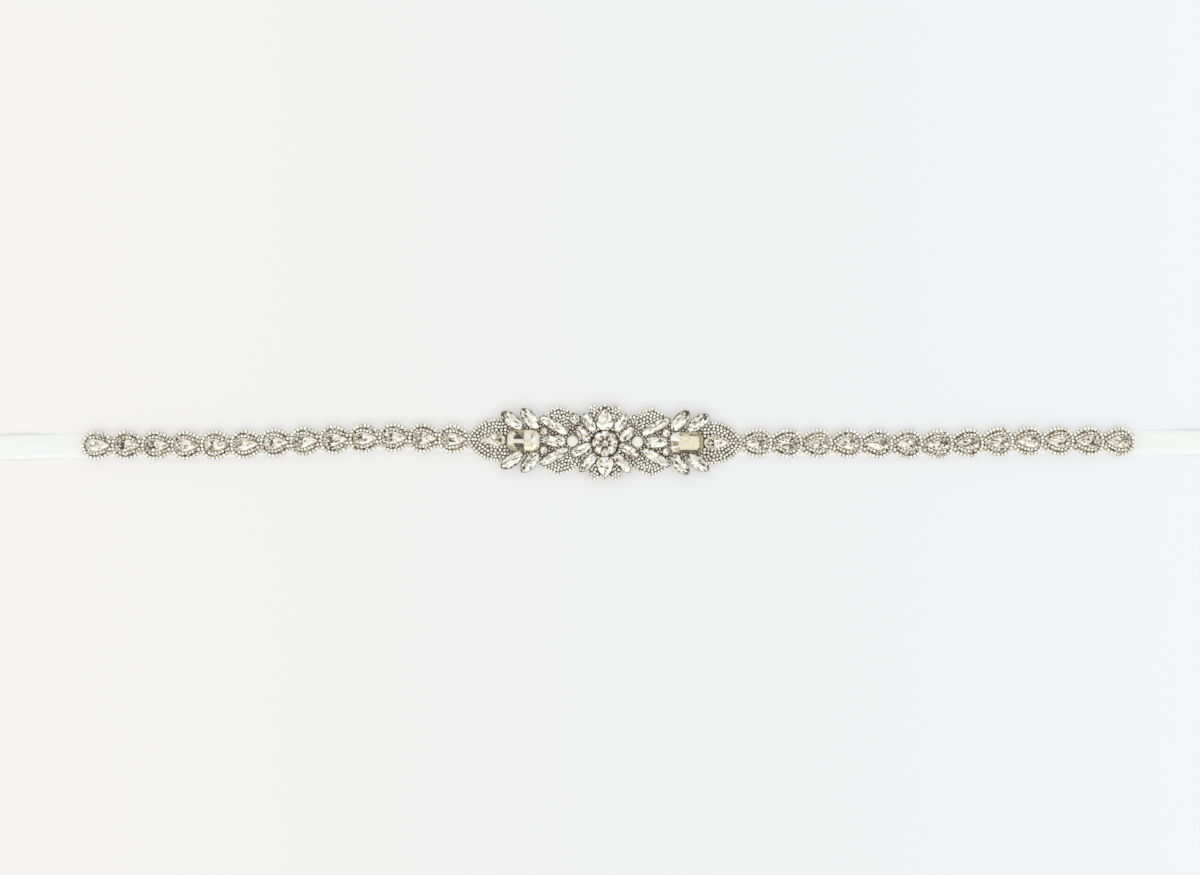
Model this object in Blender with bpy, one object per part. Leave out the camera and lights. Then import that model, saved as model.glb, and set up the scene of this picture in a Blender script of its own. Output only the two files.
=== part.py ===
"""Bridal sash: a satin ribbon with a rhinestone applique sewn along the middle of it.

The sash lies flat, face up, along X. Its ribbon runs from one plain cut end to the other. On the ribbon
lies the applique's backing, cut to the outline of the stones. On the backing stand thirteen teardrop links
on each side of a large middle motif, which has a leaf at each end, stones in claw settings, bead-covered
pads and a flower.

Lengths below are in millimetres and angles in degrees. Heights in the tables count from the piece's own
underside. The origin is on the surface that the sash lies on, under the middle of the motif. Adjoining
pieces keep SEAM_GAP between them. A stone's x and y are those of the upper right quarter of the motif, and
are mirrored to the other quarters, unless its table names the sides.
"""

from math import cos, pi, radians, sin

import bmesh
import bpy
import numpy as np

MM = 0.001
SEAM_GAP = 0.3
SIDES = {"left": -1, "right": 1}
LEVELS = {"upper": 1, "lower": -1}

# Satin ribbon
RIBBON_WIDTH = 20.0
RIBBON_THICK = 1.2
RIBBON_HALF_LENGTH = 850.0
RIBBON_STEP_UNDER_STONES = 24.0
RIBBON_STEP_IN_TAILS = 9.0

# Backing, cut just outside the stones. Its sections are closest together under the motif.
BACKING_THICK = 1.2
BACKING_RIM = 0.4
BACKING_RIM_AT_RECTANGLES = 3.0
BACKING_STEP_UNDER_MOTIF = 3.0
BACKING_SECTIONS_IN_LINK = (0.04, 0.25, 0.5, 0.75, 0.9, 0.97)
BACKING_BOTTOM = RIBBON_THICK + SEAM_GAP
STONES_BOTTOM = BACKING_BOTTOM + BACKING_THICK + SEAM_GAP

# Teardrop links. The chain on the right was sewn down a little longer than the one on the left.
LINKS_A_SIDE = 13
LINK_PITCH = {"left": 24.9, "right": 25.3}
LINK_HALF_HEIGHT = 12.4
LINK_NECK_HALF_HEIGHT = 6.6
LINK_WIDEST_AT = 12.0
LINK_END_POINTS = 2
LINK_BEAD_ROWS = 2
LINK_PEAR = {"start": 4.6, "length": 18.6, "width": 11.0}

# Leaf at each end of the motif
MOTIF_HALF_LENGTH = 115.6
LEAF_INNER_EDGE = 82.4
LEAF_HALF_HEIGHT = 18.0
LEAF_INNER_HALF_HEIGHT = 16.4
LEAF_WIDEST_AT = 7.0
LEAF_TIP_POWER = 0.7
LEAF_END_POINTS = 2
LEAF_BEAD_ROWS = 4
LEAF_PEAR = {"start": 1.0, "length": 20.4, "width": 10.0}

# Rows of small rhinestones in cups: their crests, and the grooves between them
BEAD_TOP = 2.3
BEAD_GROOVE = 1.5

# Pear stones that stand among rows of small rhinestones
PEAR_TIP_POWER = 1.15
PEAR_GIRDLE = 3.2
PEAR_TABLE = 4.6
PEAR_TABLE_SHARE = 0.6

# Claw-set stones: the foot, the girdle and the table, each with its height and its share of the outline
FOOT_SHARE = 0.86
GIRDLE = 2.8
TABLE = 4.6
TABLE_SHARE = 0.5
NAVETTE_POWER = 1.15

# Navette stones of the motif: the centre, the way that the outer end points, the length and the width
NAVETTES = {
    "wing_outer": {"x": 78.1, "y": 16.6, "points": 37.0, "length": 21.4, "width": 10.2},
    "wing_inner": {"x": 63.0, "y": 18.2, "points": 50.0, "length": 21.0, "width": 10.0},
    "spray_long": {"x": 42.8, "y": 12.9, "points": 30.0, "length": 27.0, "width": 8.6},
}
SPRAY_MIDDLE = {"x": 42.8, "y": 0.0, "points": 0.0, "length": 20.6, "width": 10.2}

# Strap that the settings of two stones side by side share
STRAP = {"half_thick": 1.4, "height": 0.9}

# Step-cut rectangular stones, round domed stones and small round stones
RECTANGLE = {"x": 68.4, "length": 27.0, "width": 17.8, "corner": 3.4}
RECTANGLE_STEPS = (
    {"height": 0.0, "share": 0.86},
    {"height": 3.6, "share": 1.0},
    {"height": 5.2, "share": 0.84},
    {"height": 6.2, "share": 0.62},
)
CABOCHON = {"x": 27.2, "y": 0.0, "diameter": 10.0, "wall": 1.8, "dome": 2.8}
DOME_ANGLES = (0.0, 30.0, 60.0)
SMALL_ROUND = {"x": 51.4, "y": 7.9, "diameter": 7.4}

# Pads of small rhinestones above and below the sprays: a low pointed arch on half an ellipse. The inner end
# is the one towards the flower, and one pad has a round stone set into it.
PAD = {"x": 39.4, "y": 20.2, "inner_end": 19.4, "outer_end": 15.8, "arch": 8.6, "depth": 9.2, "turn": -3.0}
PAD_ARCH_POWER = 1.25
PAD_ROUNDING = 0.9
PAD_WITH_STONE = "upper_left"
PAD_STONE = {"x": -25.2, "y": 18.4, "diameter": 9.4}

# Flower: a thin base with bead clusters on its rim, ten petals, and a rosette
FLOWER_Y = -1.5
FLOWER_BASE = {"half_length": 23.0, "half_height": 30.0, "thick": 0.8}
FLOWER_CLUSTERS = {
    "top": {"x": 0.0, "y": 29.9, "diameter": 4.0},
    "upper_left": {"x": -8.9, "y": 26.9, "diameter": 8.4},
    "upper_right": {"x": 8.9, "y": 26.9, "diameter": 8.4},
    "lower_left": {"x": -8.9, "y": -28.5, "diameter": 8.4},
    "lower_right": {"x": 8.9, "y": -28.5, "diameter": 8.4},
}
PETAL_BOTTOM = STONES_BOTTOM + FLOWER_BASE["thick"] + SEAM_GAP
UPRIGHT_PETAL = {"y": 20.2, "length": 17.8, "width": 13.0}
SIDE_PETALS = {
    "upper": (
        {"x": 13.3, "y": 17.1, "points": 60.0, "length": 16.6, "width": 7.8},
        {"x": 18.3, "y": 7.6, "points": 47.0, "length": 15.4, "width": 7.8},
    ),
    "lower": (
        {"x": 14.3, "y": 16.3, "points": 49.0, "length": 19.2, "width": 7.8},
        {"x": 20.1, "y": 5.6, "points": 30.0, "length": 18.4, "width": 7.8},
    ),
}
ROSETTE_PEARS = 8
ROSETTE_PEAR = {"start": 3.3, "length": 7.6, "width": 5.9}
ROSETTE_MIDDLE = 5.2
ROSETTE_DISC = {"diameter": 18.0, "height": 1.0}

# Where the sash's centreline runs
SWAY = (
    {"x": -850.0, "y": -8.0},
    {"x": -640.0, "y": -7.0},
    {"x": -508.0, "y": -5.0},
    {"x": -430.0, "y": -3.3},
    {"x": -306.0, "y": -2.5},
    {"x": -256.0, "y": 0.0},
    {"x": -205.0, "y": 2.5},
    {"x": -178.0, "y": 3.3},
    {"x": -130.0, "y": 2.1},
    {"x": 0.0, "y": 0.0},
    {"x": 100.0, "y": -1.2},
    {"x": 206.0, "y": -1.7},
    {"x": 282.0, "y": -2.1},
    {"x": 332.0, "y": -0.1},
    {"x": 433.0, "y": 0.0},
    {"x": 500.0, "y": -0.8},
    {"x": 850.0, "y": -4.0},
)
SWAY_CHORD = 2.0

# Low waves in the ribbon's tails: where each starts, its length, and how high each edge stands at its crest
WAVES = (
    {"start": -800.0, "length": 110.0, "front": 1.8, "back": 3.0},
    {"start": -670.0, "length": 130.0, "front": 3.2, "back": 2.0},
    {"start": -530.0, "length": 78.0, "front": 1.2, "back": 1.8},
    {"start": 458.0, "length": 96.0, "front": 1.2, "back": 2.6},
    {"start": 566.0, "length": 124.0, "front": 2.4, "back": 3.4},
    {"start": 712.0, "length": 102.0, "front": 3.0, "back": 1.6},
)

# Points in an outline, or in the upper half of one
LINK_HALF_POINTS = 9
LEAF_HALF_POINTS = 10
PETAL_HALF_POINTS = 9
ROSETTE_HALF_POINTS = 6
NAVETTE_POINTS = 12
ROUND_POINTS = 10
DISC_POINTS = 20
PAD_POINTS = 20
FLOWER_BASE_POINTS = 40
CUTTER_REACH = 30.0


def clear_scene():
    for obj in list(bpy.data.objects):
        bpy.data.objects.remove(obj)


def make_material(name, colour, roughness, metallic):
    material = bpy.data.materials.new(name)
    material.use_nodes = True
    shader = material.node_tree.nodes["Principled BSDF"]
    shader.inputs["Base Color"].default_value = (*colour, 1.0)
    shader.inputs["Roughness"].default_value = roughness
    shader.inputs["Metallic"].default_value = metallic
    return material


def quarters():
    """Names and signs of the motif's quarters."""
    for side, sx in SIDES.items():
        for level, sy in LEVELS.items():
            yield f"{level}_{side}", sx, sy


# The way that the sash lies


def sway(x):
    """The centreline's y at x: a cubic through the rows of SWAY, with slopes from the neighbouring rows."""
    rows_x = np.array([row["x"] for row in SWAY])
    rows_y = np.array([row["y"] for row in SWAY])
    slopes = np.gradient(rows_y, rows_x)
    i = int(np.clip(np.searchsorted(rows_x, x) - 1, 0, len(rows_x) - 2))
    span = rows_x[i + 1] - rows_x[i]
    t = (x - rows_x[i]) / span
    start = (1 + 2 * t) * (1 - t) ** 2 * rows_y[i] + t * (1 - t) ** 2 * span * slopes[i]
    end = t * t * (3 - 2 * t) * rows_y[i + 1] + t * t * (t - 1) * span * slopes[i + 1]
    return start + end


def sway_angle(x):
    """The centreline's direction at x, in radians, from a short chord."""
    return np.arctan2(sway(x + SWAY_CHORD / 2) - sway(x - SWAY_CHORD / 2), SWAY_CHORD)


def lift(x, edge):
    """How high the ribbon's front or back edge stands off the surface at x: the sum of the waves there."""
    return sum(
        wave[edge] * sin(pi * (x - wave["start"]) / wave["length"]) ** 2
        for wave in WAVES
        if 0 < x - wave["start"] < wave["length"]
    )


def placed(points, x, y, angle=0.0):
    """Flat points turned by angle (radians) about their origin, set at x and y, and carried by the sway."""
    turn = angle + sway_angle(x)
    matrix = np.array([[cos(turn), sin(turn)], [-sin(turn), cos(turn)]])
    return points @ matrix + (x, y + sway(x))


# Flat outlines, which turn anticlockwise


def mirrored_ring(upper):
    """A closed outline from its upper half, which runs from its start on the axis to its far end."""
    return np.vstack([upper * (1, -1), upper[-2:0:-1]])


def scaled(points, share):
    centre = points.mean(axis=0)
    return centre + (points - centre) * share


def offset(points, distance):
    """A closed outline moved outwards by distance, each point along the mean of its two edges' normals."""
    before = points - np.roll(points, 1, axis=0)
    after = np.roll(points, -1, axis=0) - points
    before /= np.linalg.norm(before, axis=1)[:, None]
    after /= np.linalg.norm(after, axis=1)[:, None]
    along = before + after
    along /= np.linalg.norm(along, axis=1)[:, None]
    outward = np.column_stack([along[:, 1], -along[:, 0]])
    return points + outward * distance


def ellipse(half_length, half_height, count):
    t = np.linspace(0, 2 * pi, count, endpoint=False)
    return np.column_stack([half_length * np.cos(t), half_height * np.sin(t)])


def disc(diameter, count):
    return ellipse(diameter / 2, diameter / 2, count)


def navette(length, width):
    """A stone outline pointed at both ends: a cos t along it, and b times a power of sin t across."""
    t = np.linspace(0, 2 * pi, NAVETTE_POINTS, endpoint=False)
    across = np.sign(np.sin(t)) * np.abs(np.sin(t)) ** NAVETTE_POWER
    return np.column_stack([length / 2 * np.cos(t), width / 2 * across])


def pear(size, half_points):
    """A pear outline, round at its start and pointed at its far end: u is (1 - cos q)/2 of its length, and v
    is sin q times a power of cos(q/2), in proportion to its width."""
    q = np.linspace(0, pi, half_points)
    shape = np.sin(q) * np.cos(q / 2) ** PEAR_TIP_POWER
    u = size["start"] + size["length"] * (1 - np.cos(q)) / 2
    return mirrored_ring(np.column_stack([u, size["width"] / 2 * shape / shape.max()]))


def link_outline(side):
    """A link from its round end: a quarter of an ellipse, a parabola to the neck, and a straight end."""
    length = LINK_PITCH[side] - SEAM_GAP
    along = LINK_HALF_POINTS - LINK_END_POINTS
    u = length * (1 - np.cos(np.linspace(0, pi, along))) / 2
    front = np.clip(1 - u / LINK_WIDEST_AT, 0, 1)
    back = np.clip((u - LINK_WIDEST_AT) / (length - LINK_WIDEST_AT), 0, 1)
    v = LINK_HALF_HEIGHT * np.sqrt(1 - front**2)
    v -= (LINK_HALF_HEIGHT - LINK_NECK_HALF_HEIGHT) * back**2
    end_v = np.linspace(LINK_NECK_HALF_HEIGHT, 0, LINK_END_POINTS + 1)[1:]
    end = np.column_stack([np.full(LINK_END_POINTS, length), end_v])
    return mirrored_ring(np.vstack([np.column_stack([u, v]), end]))


def leaf_outline():
    """A leaf from its straight inner edge: a short swell to its widest, and a curve to its pointed tip."""
    length = MOTIF_HALF_LENGTH - LEAF_INNER_EDGE - SEAM_GAP
    inner_v = np.linspace(0, LEAF_INNER_HALF_HEIGHT, LEAF_END_POINTS, endpoint=False)
    inner = np.column_stack([np.zeros(LEAF_END_POINTS), inner_v])
    u = length * np.sin(np.linspace(0, pi / 2, LEAF_HALF_POINTS - LEAF_END_POINTS))
    front = np.clip(1 - u / LEAF_WIDEST_AT, 0, 1)
    back = np.clip((u - LEAF_WIDEST_AT) / (length - LEAF_WIDEST_AT), 0, 1)
    v = LEAF_HALF_HEIGHT * (1 - back**2) ** LEAF_TIP_POWER
    v -= (LEAF_HALF_HEIGHT - LEAF_INNER_HALF_HEIGHT) * front**2
    return mirrored_ring(np.vstack([inner, np.column_stack([u, v])]))


# Outlines set in their places


def link_place(side, index):
    """Carries a link's own points to its place in the chain. Link 0 is the outermost one."""
    pitch = LINK_PITCH[side]
    middle = pitch / 2
    x = MOTIF_HALF_LENGTH + (LINKS_A_SIDE - index) * pitch - middle
    turn = pi if side == "right" else 0.0
    return lambda points: placed(points - (middle, 0), SIDES[side] * x, 0.0, turn)


def leaf_place(side):
    """Carries a leaf's own points to the motif's left or right end."""
    middle = (MOTIF_HALF_LENGTH - LEAF_INNER_EDGE) / 2
    turn = pi if side == "left" else 0.0
    return lambda points: placed(points - (middle, 0), SIDES[side] * (LEAF_INNER_EDGE + middle), 0.0, turn)


def placed_navette(row, sx, sy, middle_y=0.0):
    """A navette in a quarter of the motif, or of the flower when middle_y is the flower's."""
    angle = radians(row["points"]) * sx * sy + (pi if sx < 0 else 0.0)
    return placed(navette(row["length"], row["width"]), sx * row["x"], middle_y + sy * row["y"], angle)


def placed_side_petals(sx, sy):
    """The outer and the inner side petal of a quarter of the flower."""
    rows = SIDE_PETALS["upper" if sy > 0 else "lower"]
    return [placed_navette(row, sx, sy, FLOWER_Y) for row in rows]


def placed_disc(row, sx=1, sy=1):
    return placed(disc(row["diameter"], ROUND_POINTS), sx * row["x"], sy * row["y"])


def placed_rectangle(sx):
    """A rectangle with its corners cut off."""
    x, y, corner = RECTANGLE["length"] / 2, RECTANGLE["width"] / 2, RECTANGLE["corner"]
    right = [(x - corner, -y), (x, -y + corner), (x, y - corner), (x - corner, y)]
    left = [(-x + corner, y), (-x, y - corner), (-x, -y + corner), (-x + corner, -y)]
    return placed(np.array(right + left), sx * RECTANGLE["x"], 0.0)


def placed_pad(sx, sy):
    """A pad before the stones beside it are cleared. Its arch faces away from the centreline, and falls from
    its peak by a power of the share of the way to either end."""
    t = np.linspace(0, 2 * pi, PAD_POINTS, endpoint=False)
    share = np.cos(t)
    u = share * np.where(share > 0, PAD["outer_end"], PAD["inner_end"])
    arch = PAD["arch"] * (1 - np.abs(share) ** PAD_ARCH_POWER)
    v = np.where(np.sin(t) > 0, arch, PAD["depth"] * np.sin(t))
    points = np.column_stack([u, v])[:: sx * sy] * (sx, sy)
    return placed(points, sx * PAD["x"], sy * PAD["y"], radians(PAD["turn"]) * sx * sy)


def placed_flower_base():
    points = ellipse(FLOWER_BASE["half_length"], FLOWER_BASE["half_height"], FLOWER_BASE_POINTS)
    return placed(points, 0.0, 0.0)


def placed_upright_petal(sy):
    """A pear with its round end towards the rosette."""
    points = pear({**UPRIGHT_PETAL, "start": -UPRIGHT_PETAL["length"] / 2}, PETAL_HALF_POINTS)
    return placed(points, 0.0, FLOWER_Y + sy * UPRIGHT_PETAL["y"], sy * pi / 2)


def stone_outlines():
    """The girdle outlines of the stones that stand on the backing, by name."""
    outlines = {"pad_stone": placed_disc(PAD_STONE)}
    for side, sx in SIDES.items():
        outlines[f"rectangle_{side}"] = placed_rectangle(sx)
        outlines[f"cabochon_{side}"] = placed_disc(CABOCHON, sx)
        outlines[f"spray_middle_{side}"] = placed_navette(SPRAY_MIDDLE, sx, 1)
    for quarter, sx, sy in quarters():
        outlines[f"small_round_{quarter}"] = placed_disc(SMALL_ROUND, sx, sy)
        for name, row in NAVETTES.items():
            outlines[f"{name}_{quarter}"] = placed_navette(row, sx, sy)
    return outlines


# Solids


def ring(points, height):
    return np.column_stack([points, np.full(len(points), height)])


def section(front, back, bottoms, thickness):
    """A strip's cut across: its front and back points, the height of each bottom edge, and the thickness."""
    front_bottom, back_bottom = bottoms
    lower = [(*front, front_bottom), (*back, back_bottom)]
    upper = [(*back, back_bottom + thickness), (*front, front_bottom + thickness)]
    return np.array(lower + upper)


def loft(name, rings, material):
    """One closed body skinned over a row of rings, with its first and last ring capped."""
    count = len(rings[0])
    mesh = bmesh.new()
    rows = [[mesh.verts.new(point * MM) for point in points] for points in rings]
    for low, high in zip(rows, rows[1:]):
        for i in range(count):
            j = (i + 1) % count
            mesh.faces.new((low[i], low[j], high[j], high[i]))
    mesh.faces.new(rows[0][::-1])
    mesh.faces.new(rows[-1])
    bmesh.ops.triangulate(mesh, faces=mesh.faces)
    data = bpy.data.meshes.new(name)
    mesh.to_mesh(data)
    mesh.free()
    data.materials.append(material)
    obj = bpy.data.objects.new(name, data)
    bpy.context.collection.objects.link(obj)
    return obj


def prism(name, outline, bottom, top, material):
    return loft(name, [ring(outline, bottom), ring(outline, top)], material)


def combine(target, helpers, operation):
    """Joins helper solids to the target, or cuts them from it. The helpers aren't pieces of the sash."""
    for helper in helpers:
        helper.hide_render = True
        helper.display_type = "WIRE"
        modifier = target.modifiers.new(helper.name, "BOOLEAN")
        modifier.operation = operation
        modifier.object = helper
        modifier.solver = "EXACT"


def clearance(name, outline, material):
    """A cutter round a stone's girdle that leaves the seam gap to it."""
    return prism(f"clear_{name}", offset(outline, SEAM_GAP), -CUTTER_REACH, CUTTER_REACH, material)


def stone(name, outline, bottom, material):
    """A stone in its setting: a foot a little smaller than the girdle, and a crown up to the table."""
    rings = [
        ring(scaled(outline, FOOT_SHARE), bottom),
        ring(outline, bottom + GIRDLE),
        ring(scaled(outline, TABLE_SHARE), bottom + TABLE),
    ]
    return loft(name, rings, material)


def stone_pair(name, outlines, bottom, material):
    """Two stones side by side, joined low down by a strap between their settings into one body."""
    first, second = (
        stone(f"{name}_stone_{number}", outline, bottom, material) for number, outline in enumerate(outlines)
    )
    start, end = (outline.mean(axis=0) for outline in outlines)
    along = (end - start) / np.linalg.norm(end - start)
    across = np.array([-along[1], along[0]]) * STRAP["half_thick"]
    bar = np.array([start - across, end - across, end + across, start + across])
    strap = prism(f"{name}_strap", bar, bottom, bottom + STRAP["height"], material)
    first.name = name
    combine(first, [strap, second], "UNION")


def pear_in_beads(name, outline, middle, rows, place, material):
    """A pear stone with rows of small rhinestones round it. The rows are crests shared out evenly between
    the outline and the stone, with a groove between each and the next."""
    levels = [(0.0, 0.0), (0.0, BEAD_GROOVE)]
    for row in range(rows):
        levels.append(((row + 0.5) / rows, BEAD_TOP))
        levels.append(((row + 1) / rows, BEAD_GROOVE))
    rings = [
        ring(place(outline + (middle - outline) * share), STONES_BOTTOM + height) for share, height in levels
    ]
    rings.append(ring(place(middle), STONES_BOTTOM + PEAR_GIRDLE))
    rings.append(ring(place(scaled(middle, PEAR_TABLE_SHARE)), STONES_BOTTOM + PEAR_TABLE))
    return loft(name, rings, material)


# The pieces of the sash


def make_ribbon(material):
    """The ribbon's sections stand along its centreline, with both edges at their own lift."""
    chain_end = MOTIF_HALF_LENGTH + LINKS_A_SIDE * LINK_PITCH["right"]
    under = np.arange(-chain_end, chain_end, RIBBON_STEP_UNDER_STONES)
    tail_steps = round((RIBBON_HALF_LENGTH - chain_end) / RIBBON_STEP_IN_TAILS)
    tail = np.linspace(chain_end, RIBBON_HALF_LENGTH, tail_steps + 1)
    edges = np.array([[0.0, -RIBBON_WIDTH / 2], [0.0, RIBBON_WIDTH / 2]])
    sections = [
        section(*placed(edges, x, 0.0), (lift(x, "front"), lift(x, "back")), RIBBON_THICK)
        for x in np.concatenate([-tail[::-1], under[1:], tail])
    ]
    loft("ribbon", sections, material)


def reach_at(outline, x):
    """The y of each crossing of a closed outline with the line across it at x."""
    following = np.roll(outline, -1, axis=0)
    crosses = (outline[:, 0] > x) != (following[:, 0] > x)
    start, end = outline[crosses], following[crosses]
    return start[:, 1] + (x - start[:, 0]) / (end[:, 0] - start[:, 0]) * (end[:, 1] - start[:, 1])


def make_backing(material, stones):
    """The backing reaches as far as what stands on it, with a rim, and its sections run across the sash. The
    wing stones have a tongue of it each."""
    wings = {name: outline for name, outline in stones.items() if name.startswith("wing")}
    shapes = [outline for name, outline in stones.items() if name not in wings]
    shapes += [offset(placed_rectangle(sx), BACKING_RIM_AT_RECTANGLES) for sx in SIDES.values()]
    shapes.append(placed_flower_base())
    shapes += [placed_disc(row) for row in FLOWER_CLUSTERS.values()]
    shapes += [placed_pad(sx, sy) for _, sx, sy in quarters()]
    last = MOTIF_HALF_LENGTH - BACKING_RIM
    stations = list(np.linspace(-last, last, int(2 * last / BACKING_STEP_UNDER_MOTIF)))
    for side, sign in SIDES.items():
        shapes.append(leaf_place(side)(leaf_outline()))
        for index in range(LINKS_A_SIDE):
            shapes.append(link_place(side, index)(link_outline(side)))
            for share in BACKING_SECTIONS_IN_LINK:
                stations.append(sign * (MOTIF_HALF_LENGTH + (index + share) * LINK_PITCH[side]))
    rimmed = [offset(shape, BACKING_RIM) for shape in shapes]
    sections = []
    for x in sorted(stations):
        reach = np.concatenate([reach_at(shape, x) for shape in rimmed])
        bottoms = (BACKING_BOTTOM, BACKING_BOTTOM)
        sections.append(section((x, reach.min()), (x, reach.max()), bottoms, BACKING_THICK))
    backing = loft("backing", sections, material)
    backing_top = BACKING_BOTTOM + BACKING_THICK
    tongues = [
        prism(f"under_{name}", offset(outline, BACKING_RIM), BACKING_BOTTOM, backing_top, material)
        for name, outline in wings.items()
    ]
    combine(backing, tongues, "UNION")


def make_links(material):
    middle = pear(LINK_PEAR, LINK_HALF_POINTS)
    for side in SIDES:
        for index in range(LINKS_A_SIDE):
            name = f"link_{side}_{index + 1:02d}"
            place = link_place(side, index)
            pear_in_beads(name, link_outline(side), middle, LINK_BEAD_ROWS, place, material)


def make_leaves(material, stones):
    middle = pear(LEAF_PEAR, LEAF_HALF_POINTS)
    for side in SIDES:
        name = f"leaf_{side}"
        leaf = pear_in_beads(name, leaf_outline(), middle, LEAF_BEAD_ROWS, leaf_place(side), material)
        wings = {f"{name}_{level}": stones[f"wing_outer_{level}_{side}"] for level in LEVELS}
        combine(leaf, [clearance(*wing, material) for wing in wings.items()], "DIFFERENCE")


def make_wings(material, stones):
    for quarter, _, _ in quarters():
        pair = [stones[f"wing_outer_{quarter}"], stones[f"wing_inner_{quarter}"]]
        stone_pair(f"wing_{quarter}", pair, STONES_BOTTOM, material)


def make_sprays_and_rounds(material, stones):
    for name, outline in stones.items():
        if name.startswith(("spray", "small_round")):
            stone(name, outline, STONES_BOTTOM, material)


def make_rectangles(material, stones):
    for side in SIDES:
        name = f"rectangle_{side}"
        rings = [
            ring(scaled(stones[name], step["share"]), STONES_BOTTOM + step["height"])
            for step in RECTANGLE_STEPS
        ]
        loft(name, rings, material)


def make_cabochons(material, stones):
    """Round domed stones: the dome's rings shrink as the cosine while they rise as the sine."""
    for side in SIDES:
        name = f"cabochon_{side}"
        rings = [ring(stones[name], STONES_BOTTOM)]
        for angle in DOME_ANGLES:
            rise = CABOCHON["wall"] + CABOCHON["dome"] * sin(radians(angle))
            rings.append(ring(scaled(stones[name], cos(radians(angle))), STONES_BOTTOM + rise))
        loft(name, rings, material)


def below_spray(sx, sy):
    """All that lies on the flower's side of a long spray stone's axis, where no pad is."""
    row = NAVETTES["spray_long"]
    reach = CUTTER_REACH
    corners = np.array([(-reach, 0.0), (-reach, -reach), (reach, -reach), (reach, 0.0)])
    angle = radians(row["points"]) * sx * sy
    return placed(corners[::sy] * (1, sy), sx * row["x"], sy * row["y"], angle)


def make_pads(material, stones):
    """Bead-covered pads over the long spray stones, cleared of the stones beside them and of the flower."""
    for quarter, sx, sy in quarters():
        name = f"pad_{quarter}"
        outline = placed_pad(sx, sy)
        top = ring(offset(outline, -PAD_ROUNDING), STONES_BOTTOM + BEAD_TOP)
        rings = [ring(outline, STONES_BOTTOM), ring(outline, STONES_BOTTOM + BEAD_GROOVE), top]
        pad = loft(name, rings, material)
        outer_petal, inner_petal = placed_side_petals(sx, sy)
        clear_of = {
            "spray": stones[f"spray_long_{quarter}"],
            "wing": stones[f"wing_inner_{quarter}"],
            "flower": placed_flower_base(),
            "outer_petal": outer_petal,
            "inner_petal": inner_petal,
        }
        cutters = [clearance(f"{name}_of_{other}", shape, material) for other, shape in clear_of.items()]
        cutters.append(prism(f"{name}_end", below_spray(sx, sy), -CUTTER_REACH, CUTTER_REACH, material))
        combine(pad, cutters, "DIFFERENCE")
        if quarter == PAD_WITH_STONE:
            combine(pad, [stone("pad_stone", stones["pad_stone"], STONES_BOTTOM, material)], "UNION")


def make_flower_base(material, stones):
    """The flower's thin base, with a bead cluster standing up at its rim between the petals' tips."""
    base_top = STONES_BOTTOM + FLOWER_BASE["thick"]
    base = prism("flower_base", placed_flower_base(), STONES_BOTTOM, base_top, material)
    clusters = [
        prism(f"cluster_{name}", placed_disc(row), STONES_BOTTOM, STONES_BOTTOM + BEAD_TOP, material)
        for name, row in FLOWER_CLUSTERS.items()
    ]
    combine(base, clusters, "UNION")
    cutters = [clearance(f"base_of_{side}", stones[f"cabochon_{side}"], material) for side in SIDES]
    combine(base, cutters, "DIFFERENCE")


def make_petals(material):
    """The upright petals, and the two side petals of each quarter."""
    for level, sy in LEVELS.items():
        stone(f"petal_{level}_middle", placed_upright_petal(sy), PETAL_BOTTOM, material)
    for quarter, sx, sy in quarters():
        stone_pair(f"petals_{quarter}", placed_side_petals(sx, sy), PETAL_BOTTOM, material)


def make_rosette(material):
    """Small pears in a ring, points inwards, with a round stone in the middle, on a small disc."""
    base_outline = placed(disc(ROSETTE_DISC["diameter"], DISC_POINTS), 0.0, FLOWER_Y)
    rosette = prism("rosette", base_outline, PETAL_BOTTOM, PETAL_BOTTOM + ROSETTE_DISC["height"], material)
    outer_end = ROSETTE_PEAR["start"] + ROSETTE_PEAR["length"]
    inward = pear({**ROSETTE_PEAR, "start": -outer_end}, ROSETTE_HALF_POINTS)
    outlines = [placed(inward, 0.0, FLOWER_Y, 2 * pi * i / ROSETTE_PEARS) for i in range(ROSETTE_PEARS)]
    outlines.append(placed(disc(ROSETTE_MIDDLE, ROUND_POINTS), 0.0, FLOWER_Y))
    stones = [
        stone(f"rosette_stone_{number}", outline, PETAL_BOTTOM, material)
        for number, outline in enumerate(outlines)
    ]
    combine(rosette, stones, "UNION")


def main():
    clear_scene()
    satin = make_material("satin", (0.93, 0.93, 0.93), 0.35, 0.0)
    felt = make_material("felt", (0.82, 0.81, 0.78), 0.9, 0.0)
    beads = make_material("rhinestone_rows", (0.72, 0.70, 0.64), 0.25, 0.6)
    crystal = make_material("crystal", (0.9, 0.89, 0.84), 0.05, 0.0)
    opal = make_material("white_opal", (0.93, 0.93, 0.93), 0.2, 0.0)
    metal = make_material("setting_metal", (0.55, 0.52, 0.46), 0.3, 1.0)
    stones = stone_outlines()
    make_ribbon(satin)
    make_backing(felt, stones)
    make_links(beads)
    make_leaves(beads, stones)
    make_pads(beads, stones)
    make_wings(crystal, stones)
    make_sprays_and_rounds(crystal, stones)
    make_rectangles(crystal, stones)
    make_cabochons(opal, stones)
    make_flower_base(metal, stones)
    make_petals(crystal)
    make_rosette(crystal)


main()
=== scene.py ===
"""The looks of a bridal sash: a satin ribbon with a rhinestone applique sewn along the middle of it.

The CAD frame gives the places. Round it this script builds the woven ribbon, the felt backing, about 1,700
small rhinestones in cups, the cut crystals in their claws, the opaline domes and the sewing. Lengths are in
millimetres, angles in degrees and tones from 0, dark, to 1, bright: the tones are painted reflections on the
stones' facets. The sash lies along X, face up.
"""

from math import cos, pi, radians, sin

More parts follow.
